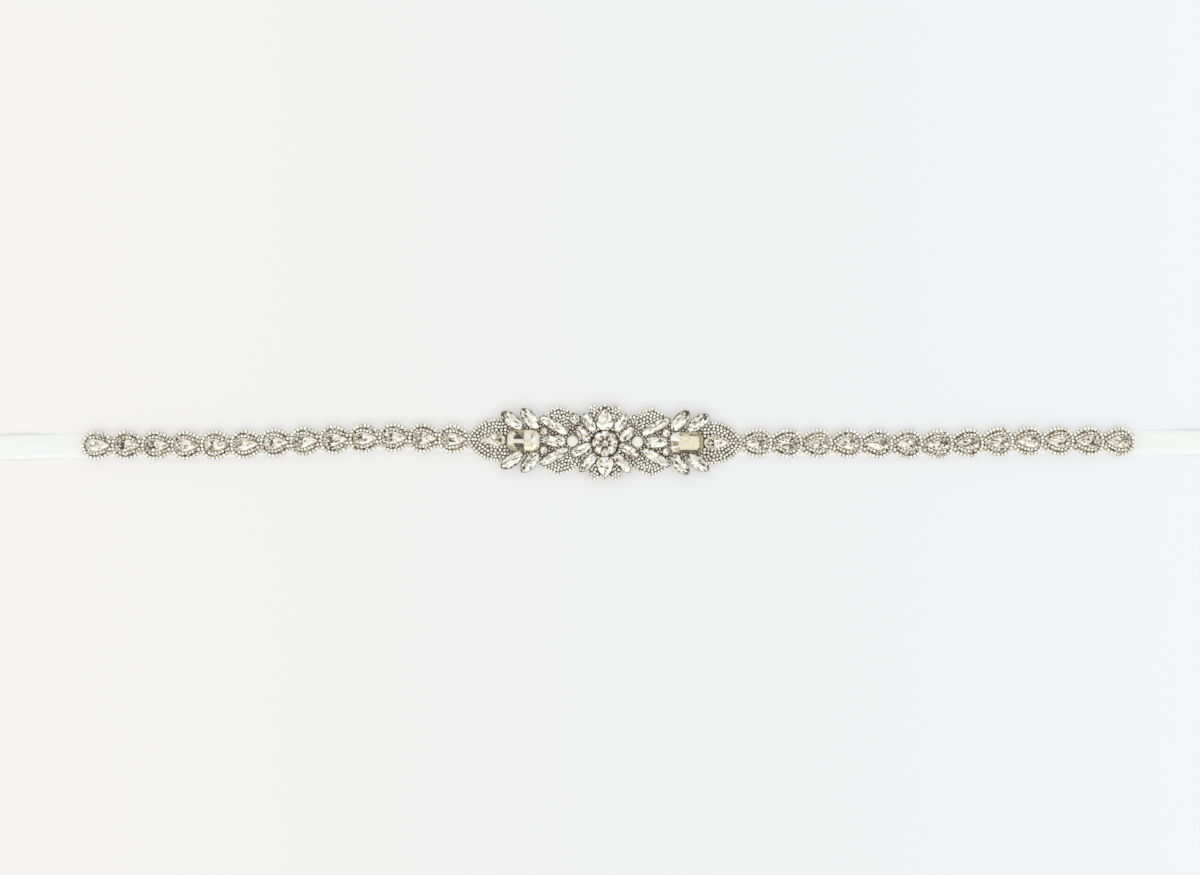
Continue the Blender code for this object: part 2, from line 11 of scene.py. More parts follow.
import bpy
import numpy as np
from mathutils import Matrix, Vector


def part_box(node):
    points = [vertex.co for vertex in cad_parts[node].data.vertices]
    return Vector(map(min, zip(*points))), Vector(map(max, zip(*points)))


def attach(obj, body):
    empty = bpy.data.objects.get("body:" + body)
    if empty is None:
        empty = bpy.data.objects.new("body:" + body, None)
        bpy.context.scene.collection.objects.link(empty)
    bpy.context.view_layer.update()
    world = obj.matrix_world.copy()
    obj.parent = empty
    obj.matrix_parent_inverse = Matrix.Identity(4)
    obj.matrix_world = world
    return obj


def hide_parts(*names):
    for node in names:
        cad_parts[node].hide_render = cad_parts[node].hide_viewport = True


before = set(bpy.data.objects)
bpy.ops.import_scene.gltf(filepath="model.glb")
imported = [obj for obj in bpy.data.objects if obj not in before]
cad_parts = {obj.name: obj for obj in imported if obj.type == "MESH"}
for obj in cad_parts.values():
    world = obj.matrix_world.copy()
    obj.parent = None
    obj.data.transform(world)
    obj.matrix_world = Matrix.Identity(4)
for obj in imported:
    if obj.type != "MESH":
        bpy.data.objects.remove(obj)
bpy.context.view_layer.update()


def table(columns, *rows):
    """Rows of values under named columns."""
    return [dict(zip(columns.split(), row)) for row in rows]


MM = 0.001
BODY = "root"
SIDES = {"left": -1, "right": 1}
LEVELS = {"upper": 1, "lower": -1}
SEAM_GAP = 0.3
rng = np.random.default_rng(26)

# Heights of the layers. The backing's top is the frame's own, and the nets are sunk a little into it.
BACKING_BOTTOM = 1.25
BACKING_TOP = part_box("backing")[1][2] / MM
NET_BOTTOM = BACKING_TOP - 0.1
PLATE_TOP = BACKING_TOP + 0.35
FLOWER_PLATE_TOP = BACKING_TOP + 1.1

# Satin ribbon
RIBBON = {
    "half_length": 850.0, "width": 20.0, "thick": 1.2, "edge_round": 0.35, "edge_press": 0.85, "step": 2.0,
}
RIBBON_TOP = {"inset": 0.15, "points": 40}
SELVEDGE = {"inset": 0.55, "width": 0.5, "rise": 0.07}
CREASES = table(
    "x width depth", (-449.0, 1.1, 0.28), (-446.6, 1.4, -0.10), (447.5, 2.4, 0.10), (470.0, 3.0, -0.12)
)

# Felt backing: how far it shows outside the stones, the distance between its sections, how far it reaches
# past the rectangular stones, and the step between layers that lap
BACKING_RIM = 0.1
BACKING_STEP = 0.6
BACKING_AT_RECTANGLES = 4.8
LAYER_STEP = 0.015

# How far each net keeps inside what stands on it, how a strip and a plate draw in at their edges, and the
# numbers of an outline's points and the steps between them before it is moved inwards or outwards
NET_INSET = {"middle": 0.5, "link": 0.4, "leaf": 0.35, "flower": 0.6}
STRIP_TUCK = 0.4
PLATE_EDGE = {"drop": 0.1, "inset": 0.12}
OUTLINE_POINTS = {"dome": 32, "base": 60, "pad": 60, "rosette_pear": 7, "rosette_middle": 12, "round_it": 24}
OUTLINE_STEP = {"region": 0.6, "stone": 0.5, "backing": 0.8, "cord": 1.0, "leaf_net": 1.2}

# Teardrop links. A pear's culet is at a share of its length, and its claws at some of its outline's points.
LINKS_A_SIDE = 13
LINK_PITCH = {"left": 24.9, "right": 25.3}
LINK_HALF_HEIGHT = 12.3
LINK_NECK_HALF_HEIGHT = 7.2
LINK_WIDEST_AT = 12.0
LINK_END_REACH = 1.5
LINK_PEAR = {"start": 4.6, "length": 19.4, "width": 10.6, "culet": 0.36, "claws": (2, 5, 11, 14)}

# Stitches that hold the backing down: their course from the middle of the ribbon outwards, and the thread
STITCH = table("v z", (4.6, 2.6), (5.4, 2.95), (6.2, 2.85), (6.9, 2.1), (7.4, 1.1), (7.8, 0.6))
STITCH_SPREAD = 0.6
THREAD = 0.4

# Leaf at each end of the motif
MOTIF_HALF_LENGTH = 115.6
LEAF_INNER_EDGE = 82.4
LEAF_HALF_HEIGHT = 18.0
LEAF_INNER_HALF_HEIGHT = 16.4
LEAF_WIDEST_AT = 7.0
LEAF_TIP_POWER = 0.7
LEAF_PEAR = {"start": 1.0, "length": 20.4, "width": 10.0, "culet": 0.4, "claws": (2, 5, 8, 11, 14)}
LEAF_CORD = {"diameter": 0.9, "from_tip": 17.0}

# Claw-set stones of the motif: centre, the way that the outer end points, length, width, and the power that
# points a navette's ends, where it isn't NAVETTE_POWER
STONE_COLUMNS = "x y points length width power"
NAVETTE_POWER = 1.12
WINGS_AND_SPRAYS = table(
    STONE_COLUMNS, (78.1, 16.6, 37.0, 21.4, 10.8, 1.0), (63.0, 18.2, 50.0, 21.0, 10.6, 1.0),
    (42.8, 12.9, 30.0, 27.0, 8.6),
)
NAVETTES = dict(zip(("wing_outer", "wing_inner", "spray_long"), WINGS_AND_SPRAYS))
(SPRAY_MIDDLE,) = table(STONE_COLUMNS, (42.8, 0.0, 0.0, 20.6, 10.2))
SMALL_ROUND = {"x": 51.4, "y": 7.9, "diameter": 7.4}
RECTANGLE = {"x": 68.4, "length": 27.0, "width": 17.8, "corner": 3.4}
RECTANGLE_GIRDLE = 3.4
CABOCHON = {"x": 27.2, "y": 0.0, "diameter": 10.0, "wall": 1.8, "dome": 2.8, "bezel": 1.7}
PAD = {"x": 39.4, "y": 20.2, "inner_end": 19.4, "outer_end": 15.8, "arch": 8.6, "depth": 9.2, "turn": -3.0}
PAD_ARCH_POWER = 1.25
PAD_STONE = {"x": -25.2, "y": 18.4, "diameter": 9.4}

# Flower
FLOWER_Y = -1.5
FLOWER_BASE = {"half_length": 23.0, "half_height": 30.0}
FLOWER_CLUSTERS = table(
    "x y diameter", (0.0, 29.9, 4.0), (-8.9, 26.9, 8.4), (8.9, 26.9, 8.4), (-8.9, -28.5, 8.4),
    (8.9, -28.5, 8.4),
)
UPRIGHT_PETAL = {"y": 20.2, "length": 18.4, "width": 14.6}
SIDE_PETALS = {
    "upper": table(STONE_COLUMNS, (13.3, 17.1, 60.0, 17.0, 9.2), (18.3, 7.6, 47.0, 15.8, 9.2)),
    "lower": table(STONE_COLUMNS, (14.3, 16.3, 49.0, 19.6, 9.0), (20.1, 5.6, 30.0, 18.8, 9.0)),
}
ROSETTE_PEARS = 8
ROSETTE_PEAR = {"start": 3.1, "length": 8.0, "width": 6.9}
ROSETTE_MIDDLE = 6.0
ROSETTE_REACH = 24.0

# Small rhinestones: the stone and its cup, whose wall has four prongs, and the sizes of cup that are used
SMALL = {
    "cup": 2.6, "stone": 2.5, "cup_height": 1.5, "crown": 0.42, "table": 0.68, "culet": 0.14, "point": -0.7,
}
CUP_FLOOR = 0.5
CUP_WALL = table(
    "share prong_share rise prong_rise",
    (0.7, 0.0, -1.5, 0.0), (1.0, 0.0, -0.4, 0.4), (0.93, -0.09, -0.3, 0.5),
)
CUPS_IN_LINKS = {"rim": 3.1, "round_pear": 2.9, "between": 2.0}
CUP_IN_CLUSTERS = 2.8
CUP_IN_MOTIF = 2.7
CUP_IN_GAPS = 2.1
CUP_JITTER = 0.15
SETTLING = {"rounds": 3, "turns": 10, "reach": 1.3, "share": 0.25}

# How cups fit: shares of a cup between neighbours, how far one may reach over an edge or a stone, how far a
# row stands off a stone, how deep the rows go, and the grid for single ones
FIT = {
    "pitch": 1.04, "closest": 0.91, "edge": 0.15, "stone": 0.2, "off_stone": 0.15, "deepest": 20.0,
    "slack": 0.5,
}
LINK_FIT = {"closest": 0.92, "edge": 0.2, "off_stone": 0.25}
FIT_GRID = 0.4

# Large stones: the girdle above the plate and the crown above the girdle. The foot, the break line and the
# table are shares of the girdle's outline. Then the heights of the wall, the break (a share of the crown),
# the culet below the table, and the point.
GIRDLE = 2.8
CROWN = 1.8
CUT = {"foot": 0.9, "break": 0.8, "table": 0.56, "wall": 0.8, "break_rise": 0.62, "culet": 0.55, "point": 0.4}
PEAR_TIP_POWER = 1.05
PEAR_GIRDLE = 3.0
PEAR_CROWN = 1.5

# Settings: a bezel's way outwards and height above the girdle, and a claw from its foot to its tip
BEZEL_FOOT = -0.6
BEZEL = table("out rise", (0.2, -0.7), (0.32, 0.1), (-0.1, 0.12), (-0.35, -0.4))
CLAW = {"width": 1.1, "thick": 0.55}
CLAW_SIZES = {"pear": 0.8, "rectangle": 1.2, "dome": 0.8, "rosette": 0.6}
CLAW_PROFILE = table(
    "inward rise width", (-0.45, -1.6, 0.9), (-0.5, 0.25, 1.0), (0.1, 0.75, 0.9), (1.0, 1.0, 0.55)
)
CLAWS_AT = {
    "wing": (0, 3, 8, 13), "spray": (0, 4, 8, 12), "small_round": (1, 5, 9, 13), "pad_stone": (1, 5, 9, 13),
    "petal": (0, 4, 8, 12), "rosette": (0,), "dome": (2, 10, 18, 26), "rectangle": (0, 3, 4, 7),
}

# Shares of facets with a dark painted reflection, how many more are dark or middling, and the ranges that the
# tones of painted reflections are drawn from
DARK_SHARE = {"small": 0.05, "round": 0.12, "rosette": 0.06, "navette": 0.1, "upright": 0.03}
DARK_OR_MIDDLING = 3.5
TONES = {
    "bright": (0.86, 1.0), "middling": (0.5, 0.85), "dark": (0.0, 0.3), "each_small_stone": (0.9, 1.3),
    "pear": (0.72, 0.97), "dull_pear": (0.2, 0.75), "bright_table": (0.88, 1.0), "dull_table": (0.55, 0.85),
    "near_end": (0.05, 0.4), "crown_near_end": (0.1, 0.6), "dark_line": (0.1, 0.4),
}
# Painted reflections at a wing's outer tip: dark and bright tones drawn from these
WING_TIP_TONES = (0.15, 0.35, 0.95)

# Tones of painted dark reflection on the two facets near a pear's round end, above and below its axis. The
# first pear in each row is that of the chain's outermost link.
PEAR_SHADES = {
    "left": {
        "upper": (0.9, 0.05, 0.1, 0.6, 0.2, 0.5, 0.0, 0.05, 0.12, 0.0, 0.05, 0.2, 0.7),
        "lower": (0.9, 0.0, 0.15, 0.9, 0.35, 0.9, 0.8, 0.5, 0.18, 0.7, 0.45, 0.3, 0.35),
    },
    "right": {
        "upper": (0.3, 0.4, 0.6, 0.3, 0.7, 0.6, 0.1, 0.8, 0.3, 0.15, 0.5, 0.3, 0.3),
        "lower": (0.8, 0.05, 0.5, 0.8, 0.15, 0.25, 0.8, 0.15, 0.7, 0.8, 0.2, 0.25, 0.2),
    },
    "leaf": {"upper": (0.45, 0.2), "lower": (0.7, 0.12)},
}

# The share of a pear's facets that smaller reflections break up, and that share at its round end
BROKEN_UP = {"left": 0.04, "right": 0.22, "leaf": 0.08}
BROKEN_UP_AT_ROUND_END = 0.75

# Where the sash's centreline runs, and the low waves in its tails
SWAY = table(
    "x y", (-850.0, -8.0), (-640.0, -7.0), (-508.0, -5.0), (-430.0, -3.3), (-306.0, -2.5), (-256.0, 0.0),
    (-205.0, 2.5), (-178.0, 3.3), (-130.0, 2.1), (0.0, 0.0), (100.0, -1.2), (206.0, -1.7), (282.0, -2.1),
    (332.0, -0.1), (433.0, 0.0), (500.0, -0.8), (850.0, -4.0),
)
SWAY_CHORD = 2.0
WAVES = table(
    "start length front back", (-800.0, 110.0, 1.8, 3.0), (-670.0, 130.0, 3.2, 2.0), (-530.0, 78.0, 1.2, 1.8),
    (458.0, 96.0, 1.2, 2.6), (566.0, 124.0, 2.4, 3.4), (712.0, 102.0, 3.0, 1.6),
)

# Camera and studio. The camera sees 1200 units across, each 0.84 mm on the floor.
CAMERA = {"x": -4.2, "y": 3.4, "distance": 2.4, "sensor": 36.0, "units": 1200, "unit": 0.84, "far": 20.0}
FLOOR = {"half": 4000.0, "height": -0.1}
SKY = {"colour": "#fdfdfa", "strength": 0.98}
SUNS = table(
    "name strength angle colour tilt", ("key", 0.33, 50.0, "#fbfcff", (42.0, 0.0, 4.0)),
    ("left_sparkle", 0.1, 10.0, "#fff4e4", (30.0, -48.0, 0.0)),
    ("right_sparkle", 0.1, 10.0, "#eef5ff", (24.0, 50.0, 0.0)),
)


# Materials


def srgb(code):
    """A hex colour as linear red, green, blue and alpha."""
    values = np.array([int(code[i : i + 2], 16) for i in (1, 3, 5)]) / 255
    linear = np.where(values <= 0.04045, values / 12.92, ((values + 0.055) / 1.055) ** 2.4)
    return (*linear, 1.0)


def socket(tree, kind, inputs=None, output=0, **settings):
    """Adds a shader node and gives one of its outputs. Each input is a value, or the socket that feeds it."""
    node = tree.nodes.new(f"ShaderNode{kind}")
    for name, value in settings.items():
        setattr(node, name, value)
    for name, value in (inputs or {}).items():
        if isinstance(value, bpy.types.NodeSocket):
            tree.links.new(value, node.inputs[name])
        else:
            node.inputs[name].default_value = value
    return node.outputs[output]


def noise(tree, vector, coarse, detail):
    """Noise whose clouds are about coarse millimetres across."""
    return socket(tree, "TexNoise", {"Vector": vector, "Scale": 1 / (coarse * MM), "Detail": detail})


def new_material(name, **inputs):
    """A Principled material, its node tree and its shader, with values set on the shader's own sockets."""
    material = bpy.data.materials.new(name)
    material.use_nodes = True
    tree = material.node_tree
    shader = tree.nodes["Principled BSDF"]
    for name, value in inputs.items():
        shader.inputs[name.replace("_", " ")].default_value = value
    return material, tree, shader


def colour_by(tree, shader, share, stops):
    """Colours the surface by a ramp over share. Each stop is a place from 0 to 1 and a hex colour."""
    ramp = tree.nodes.new("ShaderNodeValToRGB")
    elements = ramp.color_ramp.elements
    while len(elements) < len(stops):
        elements.new(0.5)
    for element, (place, code) in zip(elements, stops):
        element.position = place
        element.color = srgb(code)
    tree.links.new(share, ramp.inputs["Fac"])
    tree.links.new(ramp.outputs["Color"], shader.inputs["Base Color"])


def raise_by(tree, shader, height, strength, depth):
    bump = socket(tree, "Bump", {"Height": height, "Strength": strength, "Distance": depth * MM})
    tree.links.new(bump, shader.inputs["Normal"])


def clouded(name, coarse, detail, stops, **inputs):
    """A material coloured by noise over the object's own coordinates. The noise comes last."""
    material, tree, shader = new_material(name, **inputs)
    clouds = noise(tree, socket(tree, "TexCoord", output="Object"), coarse, detail)
    colour_by(tree, shader, clouds, stops)
    return material, tree, shader, clouds


def foiled_crystal(name, stops, metallic, roughness, grain, drift, pavilion, darkening):
    """Lead crystal on a silvered foil, coloured by each face's tone: painted reflections that step from facet
    to facet and drift a little within one. Voronoi cells darken a share of patches, painted reflections of
    the small facets of the pavilion under them. The gloss is the polished glass over it."""
    material, tree, shader = new_material(
        name, Metallic=metallic, Roughness=roughness, Coat_Weight=1.0, Coat_Roughness=0.02, Coat_IOR=1.54
    )
    place = socket(tree, "TexCoord", output="Object")
    clouds = {"Value": noise(tree, place, grain, 1.0), "From Min": 0.3, "From Max": 0.7}
    spread = socket(tree, "MapRange", {**clouds, "To Min": -drift, "To Max": drift})
    facets = socket(tree, "TexVoronoi", {"Vector": place, "Scale": 1 / (pavilion * MM)}, "Color")
    shares = {"Value": socket(tree, "SeparateColor", {"Color": facets}), "From Min": 0.0, "From Max": 0.3}
    patches = socket(tree, "MapRange", {**shares, "To Min": -darkening, "To Max": 0.0})
    tone = socket(tree, "Attribute", output="Fac", attribute_name="tone")
    in_facet = socket(tree, "Math", {0: tone, 1: patches}, operation="ADD")
    total = socket(tree, "Math", {0: in_facet, 1: spread}, operation="ADD", use_clamp=True)
    colour_by(tree, shader, total, stops)
    return material


def opal_glass():
    """Pressed opaline glass, milky with a faint cool and warm play, under a polished dome."""
    stops = ((0.3, "#dfe2df"), (0.7, "#ecebe4"))
    gloss = {"Roughness": 0.16, "IOR": 1.5, "Coat_Weight": 0.6, "Coat_Roughness": 0.05}
    return clouded("opaline_glass", 4.0, 2.0, stops, **gloss)[0]


def plated_metal(name, low, high, roughness):
    """Stamped brass with a silver plating that varies in random clouds from low to high, rougher where it is
    darker."""
    material, tree, shader, patches = clouded(name, 2.4, 3.0, ((0.35, low), (0.65, high)), Metallic=1.0)
    wear = {"Value": patches, "To Min": roughness + 0.12, "To Max": roughness - 0.08}
    tree.links.new(socket(tree, "MapRange", wear), shader.inputs["Roughness"])
    return material


def satin_weave():
    """Polyester satin. Its long floats give fine ribs along the ribbon and a soft shine across them, and its
    selvedges are two firmer cords. Threads are 0.12 mm apart and are drawn four times as coarse, to show."""
    material, tree, shader = new_material(
        "woven_satin", Roughness=0.38, IOR=1.5, Sheen_Weight=0.25, Sheen_Roughness=0.4
    )
    uv = socket(tree, "UVMap", uv_map="cloth")
    slubs = noise(tree, socket(tree, "Mapping", {"Vector": uv, "Scale": (0.02, 1.0, 1.0)}), 0.9, 3.0)
    across = socket(tree, "SeparateXYZ", {"Vector": uv}, "Y")
    turns = socket(tree, "Math", {0: across, 1: 2 * pi / (0.48 * MM)}, operation="MULTIPLY")
    ribs = socket(tree, "Math", {0: turns}, operation="SINE")
    height = socket(tree, "Math", {0: ribs, 1: 0.25, 2: slubs}, operation="MULTIPLY_ADD")
    raise_by(tree, shader, height, 0.22, 0.1)
    colour_by(tree, shader, slubs, ((0.25, "#e8eaeb"), (0.75, "#f1f3f4")))
    return material


def needled_felt():
    """Needled polyester felt: matt off-white fibres in all directions, a little fuzzy at the cut edge."""
    stops = ((0.3, "#dcd8cc"), (0.7, "#f6f4ee"))
    fuzz = {"Roughness": 0.92, "Sheen_Weight": 0.4, "Sheen_Roughness": 0.6}
    material, tree, shader, fibres = clouded("needled_felt", 0.5, 4.0, stops, **fuzz)
    raise_by(tree, shader, fibres, 0.5, 0.2)
    return material


def twisted_thread():
    """Spun polyester thread, two plies twisted, matt with a slight sheen."""
    material, tree, shader = new_material("twisted_thread", Roughness=0.6, Sheen_Weight=0.3)
    course = {"Vector": socket(tree, "TexCoord", output="Object"), "Scale": 0.6 / MM, "Distortion": 1.5}
    plies = socket(tree, "TexWave", course, "Fac", bands_direction="DIAGONAL")
    colour_by(tree, shader, plies, ((0.2, "#d9d4c6"), (0.8, "#fffdf6")))
    return material


def shade_painted_net(name, low, high):
    """The gilt net that the cups stand on, darkened unevenly as painted shade for the gaps between the
    stones.
    """
    return clouded(name, 2.6, 2.0, ((0.38, low), (0.6, high)), Roughness=0.6, Metallic=0.2)[0]


def paper_floor():
    """Matt white studio paper, a little darker in the middle, warmer to the left and cooler to the right:
    painted shading. Its faint glow is painted light that lightens the shadows round the sash.
    """
    material, tree, shader = new_material("studio_paper", Roughness=0.95, Emission_Strength=0.22)
    x = socket(tree, "SeparateXYZ", {"Vector": socket(tree, "TexCoord", output="Object")}, "X")
    across = socket(tree, "MapRange", {"Value": x, "From Min": -0.5, "From Max": 0.5})
    colour_by(tree, shader, across, ((0.0, "#d2d1d1"), (0.5, "#cccdcf"), (1.0, "#d0d2d6")))
    return material


# Ramps from a dark to a bright painted reflection, and the materials by the names that the pieces use
BRIGHT = ((0.0, "#17110a"), (0.25, "#655a45"), (0.5, "#aaa18b"), (0.75, "#e6e1d0"), (1.0, "#ffffff"))
CREAMY = (
    (0.0, "#17110a"), (0.25, "#6b5d43"), (0.5, "#b3a888"), (0.74, "#f0e7ca"), (0.86, "#dcdcd4"),
    (1.0, "#ffffff"),
)
CRYSTALS = table(
    "name stops metallic roughness grain drift pavilion darkening",
    ("foiled_crystal", BRIGHT, 0.7, 0.06, 3.0, 0.07, 1.7, 0.5),
    ("step_cut_crystal", CREAMY, 0.6, 0.05, 2.0, 0.05, 1.3, 0.15),
    ("foiled_chaton", BRIGHT, 0.3, 0.12, 1.2, 0.05, 0.8, 0.3),
)
MATERIALS = {key: foiled_crystal(**look) for key, look in zip(("crystal", "step_cut", "small"), CRYSTALS)}
MATERIALS |= {
    "opal": opal_glass(),
    "metal": plated_metal("plated_claws", "#54483a", "#b3a88e", 0.28),
    "cup": plated_metal("plated_cups", "#b3a68a", "#fbf4dc", 0.34),
    # The nets' dark colours are painted shade between the stones
    "net": shade_painted_net("shade_painted_net", "#3c301d", "#a0916b"),
    "link_net": shade_painted_net("shade_painted_link_net", "#5c4d33", "#d4c9a8"),
    "thread": twisted_thread(),
    "paper": paper_floor(),
    "satin": satin_weave(),
    "felt": needled_felt(),
}


# Meshes. A shape is its points (millimetres), its faces and, on stones, a tone for each face.


def make_piece(name, shapes, material, replaces=(), smooth=False, uv=None):
    """One mesh object from shapes, riding on the sash's body."""
    starts = np.cumsum([0] + [len(shape[0]) for shape in shapes[:-1]])
    points = np.vstack([shape[0] for shape in shapes])
    faces = np.vstack([shape[1] + start for shape, start in zip(shapes, starts)])
    mesh = bpy.data.meshes.new(name)
    mesh.vertices.add(len(points))
    mesh.vertices.foreach_set("co", (points * MM).ravel())
    mesh.loops.add(faces.size)
    mesh.loops.foreach_set("vertex_index", faces.ravel())
    mesh.polygons.add(len(faces))
    mesh.polygons.foreach_set("loop_start", np.arange(len(faces)) * faces.shape[1])
    mesh.update(calc_edges=True)
    mesh.validate()
    mesh.polygons.foreach_set("use_smooth", np.full(len(faces), smooth))
    if len(shapes[0]) > 2:
        tones = np.concatenate([shape[2] for shape in shapes]).astype(np.float32)
        mesh.attributes.new("tone", "FLOAT", "FACE").data.foreach_set("value", tones)
    if uv is not None:
        mesh.uv_layers.new(name="cloth").data.foreach_set("uv", (uv[faces.ravel()] * MM).ravel())
    mesh.materials.append(MATERIALS[material])
    piece = bpy.data.objects.new(name, mesh)
    bpy.context.scene.collection.objects.link(piece)
    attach(piece, BODY)
    if replaces:
        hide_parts(*replaces)
    return piece


def wall_faces(rows, columns):
    """Triangles of a grid of points whose last column joins its first."""
    r, c = np.meshgrid(np.arange(rows - 1), np.arange(columns), indexing="ij")
    following = (c + 1) % columns
    corners = (r * columns + c, r * columns + following, (r + 1) * columns + following, (r + 1) * columns + c)
    quads = np.stack(corners, axis=-1).reshape(-1, 4)
    return np.vstack([quads[:, [0, 1, 2]], quads[:, [0, 2, 3]]])


def fan(rim, following, hub):
    """Triangles from the steps of a rim to its hub."""
    return np.column_stack([rim, following, np.full(len(rim), hub)])


def repeated(points, faces, places, turns, sizes):
    """Copies of a small shape: each is scaled, turned about its upright axis, and moved to its place."""
    count = len(places)
    c, s = np.cos(turns)[:, None], np.sin(turns)[:, None]
    local = points[None] * np.broadcast_to(sizes, (count,))[:, None, None]
    x = local[:, :, 0] * c - local[:, :, 1] * s + places[:, None, 0]
    y = local[:, :, 0] * s + local[:, :, 1] * c + places[:, None, 1]
    z = local[:, :, 2] + places[:, None, 2]
    all_points = np.stack([x, y, z], axis=-1).reshape(-1, 3)
    all_faces = (faces[None] + np.arange(count)[:, None, None] * len(points)).reshape(-1, faces.shape[1])
    return all_points, all_faces


def ring(outline, height):
    return np.column_stack([outline, np.full(len(outline), height)])


def band(rings, cap_high=True):
    """A wall of triangles through rings of equal count, closed below, and perhaps above, by a fan to the
    ring's middle."""
    n = len(rings[0])
    i = np.arange(n)
    j = (i + 1) % n
    total = n * len(rings)
    points = [*rings, rings[0].mean(axis=0)[None]]
    faces = [wall_faces(len(rings), n), fan(j, i, total)]
    if cap_high:
        points.append(rings[-1].mean(axis=0)[None])
        faces.append(fan(total - n + i, total - n + j, total + 1))
    return np.vstack(points), np.vstack(faces)


def tube(path, radius, sides=8):
    """A round cord along an open path: circles square to the path's direction, closed at both ends."""
    along = np.gradient(path, axis=0)
    along /= np.linalg.norm(along, axis=1)[:, None]
    across = np.cross(along, (0.0, 0.0, 1.0))
    across /= np.linalg.norm(across, axis=1)[:, None]
    above = np.cross(across, along)
    angles = np.linspace(0, 2 * pi, sides, endpoint=False)
    rings = [
        point + radius * (np.cos(angles)[:, None] * side + np.sin(angles)[:, None] * up)
        for point, side, up in zip(path, across, above)
    ]
    return band(rings[::-1])


# The way that the sash lies


def sway(x):
    """The centreline's y at x: a cubic through the rows of SWAY, with slopes from the neighbouring rows."""
    rows_x, rows_y = (np.array([row[name] for row in SWAY]) for name in ("x", "y"))
    slopes = np.gradient(rows_y, rows_x)
    i = np.clip(np.searchsorted(rows_x, x) - 1, 0, len(rows_x) - 2)
    span = rows_x[i + 1] - rows_x[i]
    t = (x - rows_x[i]) / span
    start = (1 + 2 * t) * (1 - t) ** 2 * rows_y[i] + t * (1 - t) ** 2 * span * slopes[i]
    end = t * t * (3 - 2 * t) * rows_y[i + 1] + t * t * (t - 1) * span * slopes[i + 1]
    return start + end


def sway_angle(x):
    return np.arctan2(sway(x + SWAY_CHORD / 2) - sway(x - SWAY_CHORD / 2), SWAY_CHORD)


def lift(x, edge):
    """How high the ribbon's front or back edge stands off the floor at each x: the sum of the waves there."""
    total = np.zeros_like(x)
    for wave in WAVES:
        t = np.clip((x - wave["start"]) / wave["length"], 0, 1)
        total += wave[edge] * np.sin(pi * t) ** 2
    return total


def placed(points, x, y, angle=0.0):
    """Flat points turned by angle (radians) about their origin, set at x and y, and carried by the sway."""
    turn = angle + sway_angle(x)
    matrix = np.array([[cos(turn), sin(turn)], [-sin(turn), cos(turn)]])
    return points @ matrix + (x, y + sway(x))


def quarters():
    """Names and signs of the motif's quarters."""
    for side, sx in SIDES.items():
        for level, sy in LEVELS.items():
            yield f"{level}_{side}", sx, sy


# Outlines, which turn anticlockwise


def mirrored_ring(upper):
    return np.vstack([upper * (1, -1), upper[-2:0:-1]])


def scaled_about(points, centre, share):
    return centre + (points - centre) * share


def scaled(points, share):
    return scaled_about(points, points.mean(axis=0), share)


def offset(points, distance):
    """A closed outline moved outwards by distance, each point along the mean of its two edges' normals."""
    before = points - np.roll(points, 1, axis=0)
    after = np.roll(points, -1, axis=0) - points
    before /= np.linalg.norm(before, axis=1)[:, None]
    after /= np.linalg.norm(after, axis=1)[:, None]
    along = before + after
    along /= np.linalg.norm(along, axis=1)[:, None]
    return points + np.column_stack([along[:, 1], -along[:, 0]]) * distance


def spaced(outline, pitch):
    """Points at equal steps, close to pitch, along a closed outline."""
    closed = np.vstack([outline, outline[:1]])
    run = np.concatenate([[0], np.cumsum(np.linalg.norm(np.diff(closed, axis=0), axis=1))])
    count = max(3, round(run[-1] / pitch))
    steps = np.linspace(0, run[-1], count, endpoint=False)
    return np.column_stack([np.interp(steps, run, closed[:, axis]) for axis in (0, 1)])


def inside(points, outline):
    """Whether each point is inside a closed outline: an odd number of its edges lie above the point."""
    following = np.roll(outline, -1, axis=0)
    x, y = points[:, 0, None], points[:, 1, None]
    crosses = (outline[:, 0] > x) != (following[:, 0] > x)
    run = np.where(following[:, 0] == outline[:, 0], 1e-9, following[:, 0] - outline[:, 0])
    height = outline[:, 1] + (x - outline[:, 0]) / run * (following[:, 1] - outline[:, 1])
    return (crosses & (height > y)).sum(axis=1) % 2 == 1


def clearance(points, outline):
    """Each point's distance to the nearest edge of a closed outline."""
    edge = np.roll(outline, -1, axis=0) - outline
    to_point = points[:, None] - outline[None]
    t = np.clip((to_point * edge).sum(axis=-1) / (edge * edge).sum(axis=-1), 0, 1)
    return np.linalg.norm(to_point - t[..., None] * edge, axis=-1).min(axis=1)


def ellipse(half_length, half_height, count):
    t = np.linspace(0, 2 * pi, count, endpoint=False)
    return np.column_stack([half_length * np.cos(t), half_height * np.sin(t)])


def disc(diameter, count):
    return ellipse(diameter / 2, diameter / 2, count)


def navette(length, width, power, count=16):
    """A long stone outline: a cos t along it, and b times a power of sin t across. Its ends are pointed where
    the power is over 1, and round where it is 1."""
    t = np.linspace(0, 2 * pi, count, endpoint=False)
    across = np.sign(np.sin(t)) * np.abs(np.sin(t)) ** power
    return np.column_stack([length / 2 * np.cos(t), width / 2 * across])


def pear(size, half_points=9):
    """A pear outline, round at its start and pointed at its far end: u is (1 - cos q)/2 of its length, and v
    is sin q times a power of cos(q/2), in proportion to its width."""
    q = np.linspace(0, pi, half_points)
    shape = np.sin(q) * np.cos(q / 2) ** PEAR_TIP_POWER
    u = size["start"] + size["length"] * (1 - np.cos(q)) / 2
    return mirrored_ring(np.column_stack([u, size["width"] / 2 * shape / shape.max()]))


